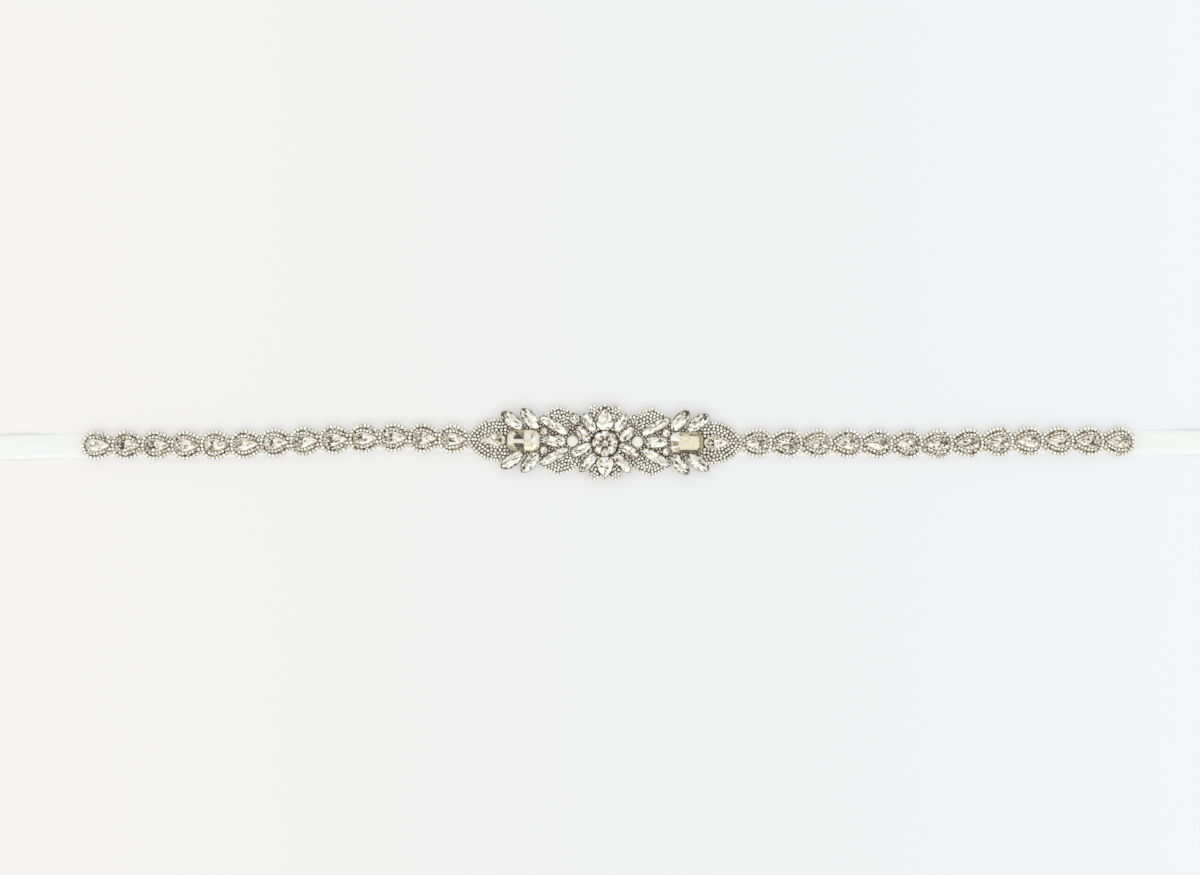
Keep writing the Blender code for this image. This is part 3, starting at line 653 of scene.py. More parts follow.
def link_outline(side, half_points=36, end_points=5):
    """A link from its round end: a quarter of an ellipse, a parabola past the neck to where it meets the next
    link's round end, and then along that round end."""
    length = LINK_PITCH[side]
    u = (length + LINK_END_REACH) * (1 - np.cos(np.linspace(0, pi, half_points))) / 2
    front = np.clip(1 - u / LINK_WIDEST_AT, 0, 1)
    back = np.clip((u - LINK_WIDEST_AT) / (length - LINK_WIDEST_AT), 0, 1.5)
    v = LINK_HALF_HEIGHT * np.sqrt(1 - front**2)
    v -= (LINK_HALF_HEIGHT - LINK_NECK_HALF_HEIGHT) * back**2
    end_v = np.linspace(v[-1], 0, end_points + 1)[1:]
    end_u = length + LINK_WIDEST_AT * (1 - np.sqrt(1 - (end_v / LINK_HALF_HEIGHT) ** 2))
    return mirrored_ring(np.vstack([np.column_stack([u, v]), np.column_stack([end_u, end_v])]))


def leaf_outline(half_points=36):
    """A leaf from its straight inner edge: a short swell to its widest, and a curve to its pointed tip."""
    length = MOTIF_HALF_LENGTH - LEAF_INNER_EDGE - SEAM_GAP
    u = length * np.sin(np.linspace(0, pi / 2, half_points))
    front = np.clip(1 - u / LEAF_WIDEST_AT, 0, 1)
    back = np.clip((u - LEAF_WIDEST_AT) / (length - LEAF_WIDEST_AT), 0, 1)
    v = LEAF_HALF_HEIGHT * (1 - back**2) ** LEAF_TIP_POWER
    v -= (LEAF_HALF_HEIGHT - LEAF_INNER_HALF_HEIGHT) * front**2
    return mirrored_ring(np.vstack([[[0.0, 0.0]], np.column_stack([u, v])]))


def in_link(points, side, index):
    """Carries a link's own points to its place in the chain. Link 0 is the outermost one."""
    middle = LINK_PITCH[side] / 2
    x = MOTIF_HALF_LENGTH + (LINKS_A_SIDE - index) * LINK_PITCH[side] - middle
    return placed(points - (middle, 0), SIDES[side] * x, 0.0, pi if side == "right" else 0.0)


def in_leaf(points, side):
    """Carries a leaf's own points to the motif's left or right end."""
    middle = (MOTIF_HALF_LENGTH - LEAF_INNER_EDGE) / 2
    x = SIDES[side] * (LEAF_INNER_EDGE + middle)
    return placed(points - (middle, 0), x, 0.0, pi if side == "left" else 0.0)


def placed_navette(row, sx, sy, middle_y=0.0):
    """A navette in a quarter of the motif. Its first point is its outer end."""
    angle = radians(row["points"]) * sx * sy + (pi if sx < 0 else 0.0)
    outline = navette(row["length"], row["width"], row.get("power", NAVETTE_POWER))
    return placed(outline, sx * row["x"], middle_y + sy * row["y"], angle)


def placed_side_petals(sx, sy):
    """The outer and the inner side petal of a quarter of the flower."""
    rows = SIDE_PETALS["upper" if sy > 0 else "lower"]
    return [placed_navette(row, sx, sy, FLOWER_Y) for row in rows]


def placed_disc(row, sx=1, sy=1, count=16):
    return placed(disc(row["diameter"], count), sx * row["x"], sy * row["y"])


def placed_domes():
    return [placed_disc(CABOCHON, sx, count=OUTLINE_POINTS["dome"]) for sx in SIDES.values()]


def placed_base():
    half_length, half_height = FLOWER_BASE["half_length"], FLOWER_BASE["half_height"]
    return placed(ellipse(half_length, half_height, OUTLINE_POINTS["base"]), 0.0, 0.0)


def placed_rectangle(sx):
    """A rectangle with its corners cut off, from the lower right round to the lower left."""
    x, y, corner = RECTANGLE["length"] / 2, RECTANGLE["width"] / 2, RECTANGLE["corner"]
    right = [(x - corner, -y), (x, -y + corner), (x, y - corner), (x - corner, y)]
    left = [(-x + corner, y), (-x, y - corner), (-x, -y + corner), (-x + corner, -y)]
    return placed(np.array(right + left), sx * RECTANGLE["x"], 0.0)


def placed_pad(sx, sy):
    """A low pointed arch on half an ellipse. The arch falls from its peak by a power of the share of the
    way to either end."""
    t = np.linspace(0, 2 * pi, OUTLINE_POINTS["pad"], endpoint=False)
    share = np.cos(t)
    u = share * np.where(share > 0, PAD["outer_end"], PAD["inner_end"])
    v = np.where(np.sin(t) > 0, PAD["arch"] * (1 - np.abs(share) ** PAD_ARCH_POWER), PAD["depth"] * np.sin(t))
    points = np.column_stack([u, v])[:: sx * sy] * (sx, sy)
    return placed(points, sx * PAD["x"], sy * PAD["y"], radians(PAD["turn"]) * sx * sy)


def placed_petal(sy):
    """An upright petal. Its round end is towards the rosette."""
    points = pear({**UPRIGHT_PETAL, "start": -UPRIGHT_PETAL["length"] / 2})
    return placed(points, 0.0, FLOWER_Y + sy * UPRIGHT_PETAL["y"], sy * pi / 2)


def rosette_outlines():
    """Small pears, points inwards, and the round stone that they stand round."""
    outer_end = ROSETTE_PEAR["start"] + ROSETTE_PEAR["length"]
    inward = pear({**ROSETTE_PEAR, "start": -outer_end}, OUTLINE_POINTS["rosette_pear"])
    pears = [placed(inward, 0.0, FLOWER_Y, 2 * pi * i / ROSETTE_PEARS) for i in range(ROSETTE_PEARS)]
    middle = disc(ROSETTE_MIDDLE, OUTLINE_POINTS["rosette_middle"])
    return [*pears, placed(middle, 0.0, FLOWER_Y)]


# Stones, cups and claws


def painted_reflection_tones(count, dark):
    """A tone of painted reflection for each facet: some dark, some in the middle, most of them bright."""
    kind = rng.random(count)
    tones = rng.uniform(*TONES["bright"], count)
    tones = np.where(kind < DARK_OR_MIDDLING * dark, rng.uniform(*TONES["middling"], count), tones)
    return np.where(kind < dark, rng.uniform(*TONES["dark"], count), tones)


def crystal(outline, plate, tones, girdle=GIRDLE, crown=CROWN, culet=None):
    """A cut stone over its outline: kite facets from the girdle over a staggered break line to the table,
    whose facets fall to the culet as the foil does under clear glass. Its underside is closed to a
    point."""
    n = len(outline)
    between = (outline + np.roll(outline, -1, axis=0)) / 2
    centre = outline.mean(axis=0)
    top = plate + girdle + crown
    rings = [
        ring(scaled(outline, CUT["foot"]), plate + girdle - CUT["wall"]),
        ring(outline, plate + girdle),
        ring(centre + (between - centre) * CUT["break"], plate + girdle + crown * CUT["break_rise"]),
        ring(centre + (outline - centre) * CUT["table"], top),
    ]
    culet_place = centre if culet is None else culet
    points = np.vstack([*rings, [[*culet_place, top - CUT["culet"]]], [[*centre, plate + CUT["point"]]]])
    i = np.arange(n)
    j = (i + 1) % n
    low, middle, high = n + i, 2 * n + i, 3 * n + i
    low_j, high_j = n + j, 3 * n + j
    before = 2 * n + (i - 1) % n
    facets = (
        (i, j, low_j), (i, low_j, low), (low, low_j, middle), (before, low, middle), (middle, high_j, high),
        (before, middle, high),
    )
    faces = [np.column_stack(corners) for corners in facets]
    return points, np.vstack([*faces, fan(high, high_j, 4 * n), fan(j, i, 4 * n + 1)]), tones


def bezel(outline, plate, girdle=GIRDLE):
    """A setting's wall: it leans outwards from the plate, and its lip turns in over the girdle."""
    lip = [ring(offset(outline, row["out"]), plate + girdle + row["rise"]) for row in BEZEL]
    return band([ring(offset(outline, BEZEL_FOOT), plate), *lip])


def claws(outline, indices, plate, girdle=GIRDLE, size=1.0):
    """Claws at some points of an outline. Each is a flat finger that rises outside the girdle and bends in
    over the crown, towards the stone's middle."""
    centre = outline.mean(axis=0)
    rings = []
    for row in CLAW_PROFILE:
        half = CLAW["width"] * row["width"] / 2
        lower, upper = row["rise"] - CLAW["thick"] / 2, row["rise"] + CLAW["thick"] / 2
        back, front = row["inward"] - CLAW["thick"] / 3, row["inward"] + CLAW["thick"] / 3
        rings.append(
            np.array([[back, -half, upper], [back, half, upper], [front, half, lower], [front, -half, lower]])
        )
    at = outline[list(indices)]
    turns = np.arctan2(centre[1] - at[:, 1], centre[0] - at[:, 0])
    return repeated(*band(rings[::-1]), ring(at, plate + girdle), turns, size)


def setting(outline, kind, plate=PLATE_TOP, girdle=GIRDLE, size=1.0):
    return [bezel(outline, plate, girdle), claws(outline, CLAWS_AT[kind], plate, girdle, size)]


def small_stone_shape():
    """A chaton seen in its cup: eight crown facets and eight between them, a table that falls to the culet,
    and a point below."""
    radius, crown = SMALL["stone"] / 2, SMALL["crown"]
    i = np.arange(8)
    j = (i + 1) % 8
    angles = i * pi / 4 + pi / 8
    high = ring(SMALL["table"] * radius * np.column_stack([np.cos(angles), np.sin(angles)]), crown)
    culet, point = [[0, 0, crown - SMALL["culet"]]], [[0, 0, SMALL["point"]]]
    points = np.vstack([ring(disc(2 * radius, 8), 0.0), high, culet, point])
    walls = [np.column_stack([i, j, 8 + i]), np.column_stack([j, 8 + j, 8 + i])]
    return points, np.vstack([*walls, fan(8 + i, 8 + j, 16), fan(j, i, 17)])


def cup_shape():
    """A stamped cup: a wall that flares from its foot, and a rim drawn up into four prongs over the stone."""
    radius, height = SMALL["cup"] / 2, SMALL["cup_height"]
    i = np.arange(8)
    angles = i * pi / 4
    prong = (i % 2 == 0).astype(float)
    rings = []
    for row in CUP_WALL:
        reach = (row["share"] + row["prong_share"] * prong) * radius
        rise = height + row["rise"] + row["prong_rise"] * prong
        rings.append(np.column_stack([reach * np.cos(angles), reach * np.sin(angles), rise]))
    points, faces = band(rings, cap_high=False)
    floor = fan(16 + i, 16 + (i + 1) % 8, len(points))
    return np.vstack([points, [[0, 0, height - CUP_FLOOR]]]), np.vstack([faces, floor])


def small_rhinestones(name, places, height, cup, replaces=()):
    """Small rhinestones in cups, as two pieces: the stones and the cups."""
    places = ring(places, height)
    turns = rng.uniform(0, 2 * pi, len(places))
    size = np.broadcast_to(cup, len(places)) / SMALL["cup"]
    make_piece(f"{name}_cups", [repeated(*cup_shape(), places, turns, size)], "cup")
    shape, facets = small_stone_shape()
    points, faces = repeated(shape, facets, places + np.outer(size, (0, 0, SMALL["cup_height"])), turns, size)
    # Each stone's painted reflections are made brighter or duller as a whole, at random
    bright = np.repeat(rng.uniform(*TONES["each_small_stone"], len(places)), len(facets))
    tones = np.clip(painted_reflection_tones(len(faces), DARK_SHARE["small"]) * bright, 0, 1)
    make_piece(f"{name}_rhinestones", [(points, faces, tones)], "small", replaces)


def scattered(outline):
    """The points of a fine grid over an outline's box, in random order."""
    low, high = outline.min(axis=0), outline.max(axis=0)
    x, y = np.meshgrid(np.arange(low[0], high[0], FIT_GRID), np.arange(low[1], high[1], FIT_GRID))
    return rng.permutation(np.column_stack([x.ravel(), y.ravel()]))


def jittered(points):
    return points + rng.uniform(-CUP_JITTER, CUP_JITTER, points.shape)


def paved(region, avoid, cup, inner_rows=(), taken=(), rows_inwards=True):
    """Places for small rhinestones: a row inside the region's outline, rows round its stones, further rows
    inwards, and single ones in what is left. A place is kept where a cup fits in the region, beside its
    stones and its neighbours, of which some are taken already. The cups then share out the room among them,
    and more are set where that leaves a gap."""
    radius, pitch, closest = cup / 2, cup * FIT["pitch"], cup * FIT["closest"]
    fine = spaced(region, OUTLINE_STEP["region"])

    def fits(points, least):
        found = inside(points, region) & (clearance(points, region) > least - FIT["edge"])
        for shape in avoid:
            free = ~inside(points[found], shape) & (clearance(points[found], shape) > radius - FIT["stone"])
            found[found] = free
        return found

    rows = []
    if rows_inwards:
        rows.append((spaced(offset(fine, -radius), pitch), radius))
        for stone in inner_rows:
            beside = offset(spaced(stone, OUTLINE_STEP["stone"]), radius + FIT["off_stone"])
            rows.append((spaced(beside, pitch), radius))
        for inset in np.arange(radius + closest, FIT["deepest"], closest):
            rows.append((spaced(offset(fine, -inset), pitch), inset - FIT["slack"]))
    rows.append((scattered(fine), radius))
    kept = np.array(taken).reshape(-1, 2)
    first = len(kept)
    for _ in range(SETTLING["rounds"]):
        for points, least in rows:
            points = jittered(points)
            for point in points[fits(points, least)]:
                if not len(kept) or np.linalg.norm(kept - point, axis=1).min() > closest:
                    kept = np.vstack([kept, point])
        rows = rows[-1:]
        for _ in range(SETTLING["turns"]):
            away = kept[first:, None] - kept[None]
            distance = np.linalg.norm(away, axis=-1) + 1e-9
            push = np.clip(SETTLING["reach"] * cup - distance, 0, None) * SETTLING["share"] / distance
            moved = kept[first:] + (away * push[..., None]).sum(axis=1)
            free = fits(moved, radius)
            kept[first:][free] = moved[free]
    return jittered(kept[first:])


def plate(outline, bottom, top):
    """A flat plate with slightly drawn-in edges."""
    edge = offset(outline, -PLATE_EDGE["inset"])
    return band([ring(outline, bottom), ring(outline, top - PLATE_EDGE["drop"]), ring(edge, top)])


# The pieces


def make_ribbon():
    """The ribbon is a profile carried along the centreline: flat below, with rounded edges, a raised cord
    along each selvedge, and a few pressed creases across."""
    half, thick, round_ = RIBBON["width"] / 2, RIBBON["thick"], RIBBON["edge_round"]
    x = np.arange(-RIBBON["half_length"], RIBBON["half_length"] + 0.1, RIBBON["step"])
    fine = [crease["x"] + crease["width"] * np.linspace(-1.5, 1.5, 9) for crease in CREASES]
    x = np.unique(np.concatenate([x, *fine]))
    curve = np.linspace(0, pi / 2, 4)
    right = np.column_stack([half - round_ + round_ * np.sin(curve), round_ * (1 - np.cos(curve))])
    right_top = np.column_stack(
        [half - round_ + round_ * np.cos(curve), thick - round_ + round_ * np.sin(curve)]
    )
    inner = half - round_ - RIBBON_TOP["inset"]
    across = np.linspace(inner, -inner, RIBBON_TOP["points"])
    top = np.column_stack([across, np.full(len(across), thick)])
    profile = np.vstack([right, right_top, top, right_top[::-1] * (-1, 1), right[::-1] * (-1, 1)])
    v, z = profile[:, 0], profile[:, 1]
    cord = np.exp(-(((half - SELVEDGE["inset"] - np.abs(v)) / SELVEDGE["width"]) ** 2)) * SELVEDGE["rise"]
    upper = z > thick - 0.01
    z = z * (1 - RIBBON["edge_press"] * np.clip((np.abs(v) - half / 2) / (half / 2), 0, 1) ** 2)
    angle = sway_angle(x)
    front, back = lift(x, "front"), lift(x, "back")
    share = (v[None] + half) / (2 * half)
    height = z[None] + front[:, None] * (1 - share) + back[:, None] * share + np.where(upper, cord, 0)[None]
    for crease in CREASES:
        fold = crease["depth"] * np.exp(-(((x - crease["x"]) / crease["width"]) ** 2))
        height -= np.where(upper[None], fold[:, None] * np.clip(1.2 - np.abs(v) / half, 0, 1), 0)
    px = x[:, None] - np.sin(angle)[:, None] * v[None]
    py = sway(x)[:, None] + np.cos(angle)[:, None] * v[None]
    points = np.stack([px, py, height], axis=-1).reshape(-1, 3)
    n = len(profile)
    i = np.arange(1, n - 1)
    end = np.column_stack([np.zeros(n - 2, int), i, i + 1])
    faces = np.vstack([wall_faces(len(x), n)[:, ::-1], end, (end + (len(x) - 1) * n)[:, ::-1]])
    run = np.concatenate([[0], np.cumsum(np.linalg.norm(np.diff(profile, axis=0), axis=1))])
    uv = np.column_stack([np.repeat(x, n), np.tile(run, len(x))])
    ribbon = make_piece("satin_ribbon", [(points, faces)], "satin", ["ribbon"], smooth=True, uv=uv)


def reach_at(outline, x):
    """The y of each crossing of a closed outline with the line across it at x."""
    following = np.roll(outline, -1, axis=0)
    crosses = (outline[:, 0] > x) != (following[:, 0] > x)
    start, end = outline[crosses], following[crosses]
    return start[:, 1] + (x - start[:, 0]) / (end[:, 0] - start[:, 0]) * (end[:, 1] - start[:, 1])


def reach_along(outlines, rim, first, last):
    """How far the outlines reach to the front and to the back at each station from first to last, with a rim.
    Where none of them crosses a station, it is left out."""
    rimmed = [offset(spaced(outline, OUTLINE_STEP["backing"]), rim) for outline in outlines]
    stations, reaches = [], []
    for x in np.arange(first, last, BACKING_STEP):
        found = np.concatenate([reach_at(outline, x) for outline in rimmed])
        if len(found):
            stations.append(x)
            reaches.append((found.min(), found.max()))
    reaches = np.array(reaches)
    return np.array(stations), reaches[:, 0], reaches[:, 1]


def scalloped_strip(outlines, rim, low, high, first, last):
    """A strip that reaches as far across as the outlines do at each station, with rounded edges."""
    stations, front, back = reach_along(outlines, rim, first, last)
    tuck = min(STRIP_TUCK, (high - low) / 3)
    corners = [
        (front + tuck, low), (back - tuck, low), (back, low + tuck), (back, high - tuck), (back - tuck, high),
        (front + tuck, high), (front, high - tuck), (front, low + tuck),
    ]
    sections = [ring(np.column_stack([stations, y]), z) for y, z in corners]
    i = np.arange(1, 7)
    start = np.column_stack([np.zeros(6, int), i, i + 1])
    end = start[:, [0, 2, 1]] + (len(stations) - 1) * 8
    faces = np.vstack([wall_faces(len(stations), 8)[:, ::-1], start, end])
    return np.stack(sections, axis=1).reshape(-1, 3), faces


def make_backing(shapes):
    """The felt shows as a pale rim outside the stones. On the motif the cups stand on a net over it, darkened
    as painted shade between the stones. The wing stones have a tongue of each."""
    chain_end = MOTIF_HALF_LENGTH + LINKS_A_SIDE * max(LINK_PITCH.values()) + 1.0
    layer = (BACKING_RIM, BACKING_BOTTOM, BACKING_TOP, -chain_end, chain_end)
    felts = [scalloped_strip(shapes["links"] + shapes["leaves"] + shapes["middle"], *layer)]
    layer = (-NET_INSET["middle"], NET_BOTTOM, PLATE_TOP, -LEAF_INNER_EDGE, LEAF_INNER_EDGE)
    nets = [scalloped_strip(shapes["middle"], *layer)]
    for number, outline in enumerate(shapes["wings"], start=1):
        tuck = number * LAYER_STEP
        felts.append(plate(offset(outline, BACKING_RIM), BACKING_BOTTOM + tuck, BACKING_TOP - tuck))
        nets.append(plate(outline, NET_BOTTOM, PLATE_TOP - tuck))
    make_piece("felt_backing", felts, "felt", ["backing"])
    make_piece("motif_net", nets, "net")


def two_rows(outline, stone):
    """Places and cup sizes of a link's small rhinestones: a row inside its outline, a row round its pear, and
    smaller ones where there is room between."""
    rim, round_pear, between = (CUPS_IN_LINKS[row] for row in ("rim", "round_pear", "between"))
    edge, round_stone = spaced(outline, OUTLINE_STEP["region"]), spaced(stone, OUTLINE_STEP["stone"])
    rows = (
        (rim, spaced(offset(edge, -rim / 2), rim)),
        (round_pear, spaced(offset(round_stone, round_pear / 2 + LINK_FIT["off_stone"]), round_pear)),
        (between, scattered(outline)),
    )
    kept, cups = np.empty((0, 2)), np.empty(0)
    for cup, points in rows:
        points = jittered(points)
        fits = inside(points, outline) & (clearance(points, outline) > cup / 2 - LINK_FIT["edge"])
        fits &= ~inside(points, stone) & (clearance(points, stone) > cup / 2)
        for point in points[fits]:
            if (np.linalg.norm(kept - point, axis=1) > (cups + cup) / 2 * LINK_FIT["closest"]).all():
                kept = np.vstack([kept, point])
                cups = np.append(cups, cup)
    return kept, cups


def pear_tones(n, shades, broken_up):
    """Tones of a pear over an outline of n points: bright towards its tip, and broken up near its round end
    by smaller dark reflections. The two shades are those of the table on either side of the axis. A share
    of the other facets is broken up too."""
    near_round_end = (1 + np.cos(2 * pi * np.arange(n) / n)) / 2
    tones = rng.uniform(*TONES["pear"], 8 * n)
    share = broken_up + (BROKEN_UP_AT_ROUND_END - broken_up) * near_round_end**2
    dull = rng.random(8 * n) < np.tile(share, 8)
    tones = np.where(dull, rng.uniform(*TONES["dull_pear"], 8 * n), tones)
    for shade, at in zip(shades, (1, n - 3)):
        for row in (5, 6):
            tones[row * n + at : row * n + at + 2] = shade
    return tones


def set_pear(size, stone, carry, where, shades, broken_up):
    """A pear's crystal and its setting. Its culet is carried to where the pear is."""
    culet = carry(np.array([[size["start"] + size["culet"] * size["length"], 0.0]]), *where)[0]
    tones = pear_tones(len(stone), shades, broken_up)
    wall = bezel(stone, PLATE_TOP, PEAR_GIRDLE)
    fingers = claws(stone, size["claws"], PLATE_TOP, PEAR_GIRDLE, CLAW_SIZES["pear"])
    return crystal(stone, PLATE_TOP, tones, PEAR_GIRDLE, PEAR_CROWN, culet), [wall, fingers]


def make_links():
    """Each link is a net plate, darkened as painted shade, rows of small rhinestones, and a claw-set pear
    whose round end has a painted dark reflection on one or both sides of its axis."""
    for side, sx in SIDES.items():
        outlines, pears, settings, places, cups = [], [], [], [], []
        for index in range(LINKS_A_SIDE):
            outline = in_link(link_outline(side), side, index)
            stone = in_link(pear(LINK_PEAR), side, index)
            outlines.append(outline)
            found, sizes = two_rows(outline, stone)
            places.append(found)
            cups.append(sizes)
            shades = [PEAR_SHADES[side][level][index] for level in ("lower", "upper")[::-sx]]
            jewel, held = set_pear(LINK_PEAR, stone, in_link, (side, index), shades, BROKEN_UP[side])
            pears.append(jewel)
            settings += held
        chain = LINKS_A_SIDE * LINK_PITCH[side]
        ends = sorted((sx * MOTIF_HALF_LENGTH, sx * (MOTIF_HALF_LENGTH + chain)))
        net = scalloped_strip(outlines, -NET_INSET["link"], NET_BOTTOM, PLATE_TOP, *ends)
        make_piece(f"link_nets_{side}", [net], "link_net")
        make_piece(f"link_settings_{side}", settings, "cup")
        make_piece(f"link_pears_{side}", pears, "crystal")
        nodes = [f"link_{side}_{index + 1:02d}" for index in range(LINKS_A_SIDE)]
        places, cups = np.vstack(places), np.concatenate(cups)
        small_rhinestones(f"link_{side}", places, PLATE_TOP, cups, nodes)


def make_leaves(stones):
    """Each leaf is a net plate under rows of small rhinestones, a pear, and a white cord round its tip."""
    plates, pears, settings, cords, places = [], [], [], [], []
    for index, (side, sx) in enumerate(SIDES.items()):
        outline = in_leaf(leaf_outline(), side)
        stone = in_leaf(pear(LEAF_PEAR), side)
        wings = [stones[f"wing_outer_{level}_{side}"] for level in LEVELS]
        edge = spaced(offset(outline, -NET_INSET["leaf"]), OUTLINE_STEP["leaf_net"])
        plates.append(plate(edge, NET_BOTTOM, PLATE_TOP))
        places.append(paved(outline, [stone, *wings], CUP_IN_MOTIF, [stone]))
        shades = [PEAR_SHADES["leaf"][level][index] for level in ("lower", "upper")[::sx]]
        jewel, held = set_pear(LEAF_PEAR, stone, in_leaf, (side,), shades, BROKEN_UP["leaf"])
        pears.append(jewel)
        settings += held
        own = offset(spaced(leaf_outline(), OUTLINE_STEP["cord"]), LEAF_CORD["diameter"] / 3)
        tip = own[own[:, 0] > own[:, 0].max() - LEAF_CORD["from_tip"]]
        path = ring(in_leaf(tip, side), BACKING_TOP + LEAF_CORD["diameter"] / 3)
        cords.append(tube(path, LEAF_CORD["diameter"] / 2))
    make_piece("leaf_nets", plates, "net")
    make_piece("leaf_settings", settings, "cup")
    make_piece("leaf_pears", pears, "crystal")
    make_piece("leaf_cords", cords, "thread", smooth=True)
    places = np.vstack(places)
    small_rhinestones("leaf", places, PLATE_TOP, CUP_IN_MOTIF, [f"leaf_{side}" for side in SIDES])
    return places


def make_stitches():
    """Pairs of stitches in the notches between links, over the backing's edge and down into the ribbon."""
    v, z = (np.array([row[name] for row in STITCH]) for name in ("v", "z"))
    shapes = []
    for side, sx in SIDES.items():
        for index in range(LINKS_A_SIDE + 1):
            x = sx * (MOTIF_HALF_LENGTH + index * LINK_PITCH[side] - LINK_END_REACH)
            for edge in LEVELS.values():
                for lean in (-1, 1):
                    u = lean * STITCH_SPREAD * (0.5 + np.linspace(0, 1, len(v)))
                    across = placed(np.column_stack([u, edge * v]), x, 0.0)
                    shapes.append(tube(np.column_stack([across, z]), THREAD / 2, 6))
    make_piece("stitches", shapes, "thread", smooth=True)


def make_pads(stones):
    """Small rhinestones over the long spray stones. One pad has a round stone set into its inner end."""
    spray = NAVETTES["spray_long"]
    places = []
    for quarter, sx, sy in quarters():
        avoid = [stones[f"spray_long_{quarter}"], stones[f"wing_inner_{quarter}"], stones["pad_stone"]]
        found = paved(placed_pad(sx, sy), avoid + placed_side_petals(sx, sy), CUP_IN_MOTIF)
        turn = radians(spray["points"]) * sx * sy + sway_angle(sx * spray["x"])
        axis = placed(np.zeros((1, 2)), sx * spray["x"], sy * spray["y"])[0]
        above = (found - axis) @ np.array([-sin(turn), cos(turn)]) * sy > 0
        places.append(found[above])
    places = np.vstack(places)
    nodes = [f"pad_{quarter}" for quarter, _, _ in quarters()]
    small_rhinestones("pad", places, PLATE_TOP, CUP_IN_MOTIF, nodes)
    return places


def fill_gaps(outlines, stones, taken):
    """Single small rhinestones in the gaps of the motif, from its front edge to its back edge."""
    stations, front, back = reach_along(outlines, 0.0, -LEAF_INNER_EDGE, LEAF_INNER_EDGE)
    region = np.vstack([np.column_stack([stations, front]), np.column_stack([stations, back])[::-1]])
    avoid = [*stones.values(), placed_base(), *placed_domes()]
    places = paved(region, avoid, CUP_IN_GAPS, taken=taken, rows_inwards=False)
    small_rhinestones("gap", places, PLATE_TOP, CUP_IN_GAPS)


def navette_tones(n, dark_tip=False):
    """Tones of painted reflection on a navette over an outline of n points: a bright and a duller side of its
    table, a dark facet or two near one end, and, on the wings, a dark outer tip."""
    tones = painted_reflection_tones(8 * n, DARK_SHARE["navette"])
    first = 6 * n + rng.integers(2) * n // 2
    tones[6 * n : 7 * n] = rng.uniform(*TONES["bright_table"], n)
    tones[first : first + n // 2] = rng.uniform(*TONES["dull_table"], n // 2)
    near_end = rng.choice((1, n // 2 - 2, n // 2 + 1, n - 2))
    tones[6 * n + near_end] = rng.uniform(*TONES["near_end"])
    tones[4 * n + near_end] = rng.uniform(*TONES["crown_near_end"])
    if dark_tip:
        for row in (2, 3, 4, 5):
            tones[[row * n, row * n + 1, row * n + n - 1]] = rng.choice(WING_TIP_TONES, 3)
    return tones


def make_navettes(stones):
    """The wings, the sprays, the small rounds and the pad's round stone, with their settings."""
    groups = {"wing": ([], []), "spray": ([], [])}
    for name, outline in stones.items():
        kind = next(kind for kind in CLAWS_AT if name.startswith(kind))
        if kind == "rectangle":
            continue
        group = "wing" if kind == "wing" else "spray"
        long = kind in groups
        n = len(outline)
        tones = navette_tones(n, kind == "wing") if long else painted_reflection_tones(8 * n, DARK_SHARE["round"])
        groups[group][0].append(crystal(outline, PLATE_TOP, tones))
        groups[group][1].extend(setting(outline, kind))
    nodes = {
        "wing": [f"wing_{quarter}" for quarter, _, _ in quarters()],
        "spray": [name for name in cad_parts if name.startswith(("spray", "small_round"))],
    }
    for group, (crystals, settings) in groups.items():
        make_piece(f"{group}_crystals", crystals, "crystal", nodes[group])
        make_piece(f"{group}_settings", settings, "metal")


# Step-cut rectangles. A step's share of the outline, height above the backing, and share of the table's shift
RECTANGLE_STEPS = table(
    "share height shift", (0.9, 2.4, 0.0), (1.0, 3.4, 0.0), (0.84, 4.7, 0.4), (0.64, 5.6, 1.0)
)
TABLE_SHIFT = {"left": (0.0, 0.0), "right": (1.9, -0.3)}

# In shares of the half length or half width: where the cut corners begin, where the long sides are split, the
# beam across the table, and the far end of the keel. The keel is sunk below the table.
STRAIGHT = {"long": 0.748, "short": 0.618}
SPLITS = (0.08, -0.5)
BEAM = {"left": -0.97, "right": 0.05, "low": -0.41, "high": 0.2}
KEEL_END = (0.75, 0.03)
KEEL_POINTS = [(BEAM[end], BEAM[edge]) for end in ("left", "right") for edge in ("low", "high")] + [KEEL_END]
KEEL_DROP = 0.12

# A facet's corners count the table's own fourteen from the lower right round to the lower left, and then
# those of the keel. Each has a tone of painted reflection on the left and on the right stone.
TABLE_FACETS = table(
    "corners left right", ((13, 16, 12), 0.14, 0.74), ((12, 16, 14), 0.2, 0.76), ((12, 14, 11), 0.06, 0.8),
    ((11, 14, 10), 0.7, 0.95), ((9, 10, 14), 0.74, 0.97), ((8, 9, 14), 0.92, 0.97), ((8, 14, 15), 0.92, 0.97),
    ((7, 8, 15), 0.7, 0.9), ((7, 15, 6), 0.45, 0.86), ((6, 15, 5), 0.36, 0.78), ((5, 15, 17), 0.04, 0.76),
    ((5, 17, 4), 0.36, 0.75), ((4, 17, 18), 0.86, 0.76), ((4, 18, 3), 0.92, 0.76), ((3, 18, 2), 0.45, 0.74),
    ((2, 18, 1), 0.95, 0.76), ((1, 18, 0), 0.6, 0.74), ((0, 18, 16), 0.74, 0.75), ((0, 16, 13), 0.76, 0.73),
    ((16, 18, 17), 0.7, 0.76), ((14, 16, 17), 0.9, 0.77), ((14, 17, 15), 0.88, 0.77),
)
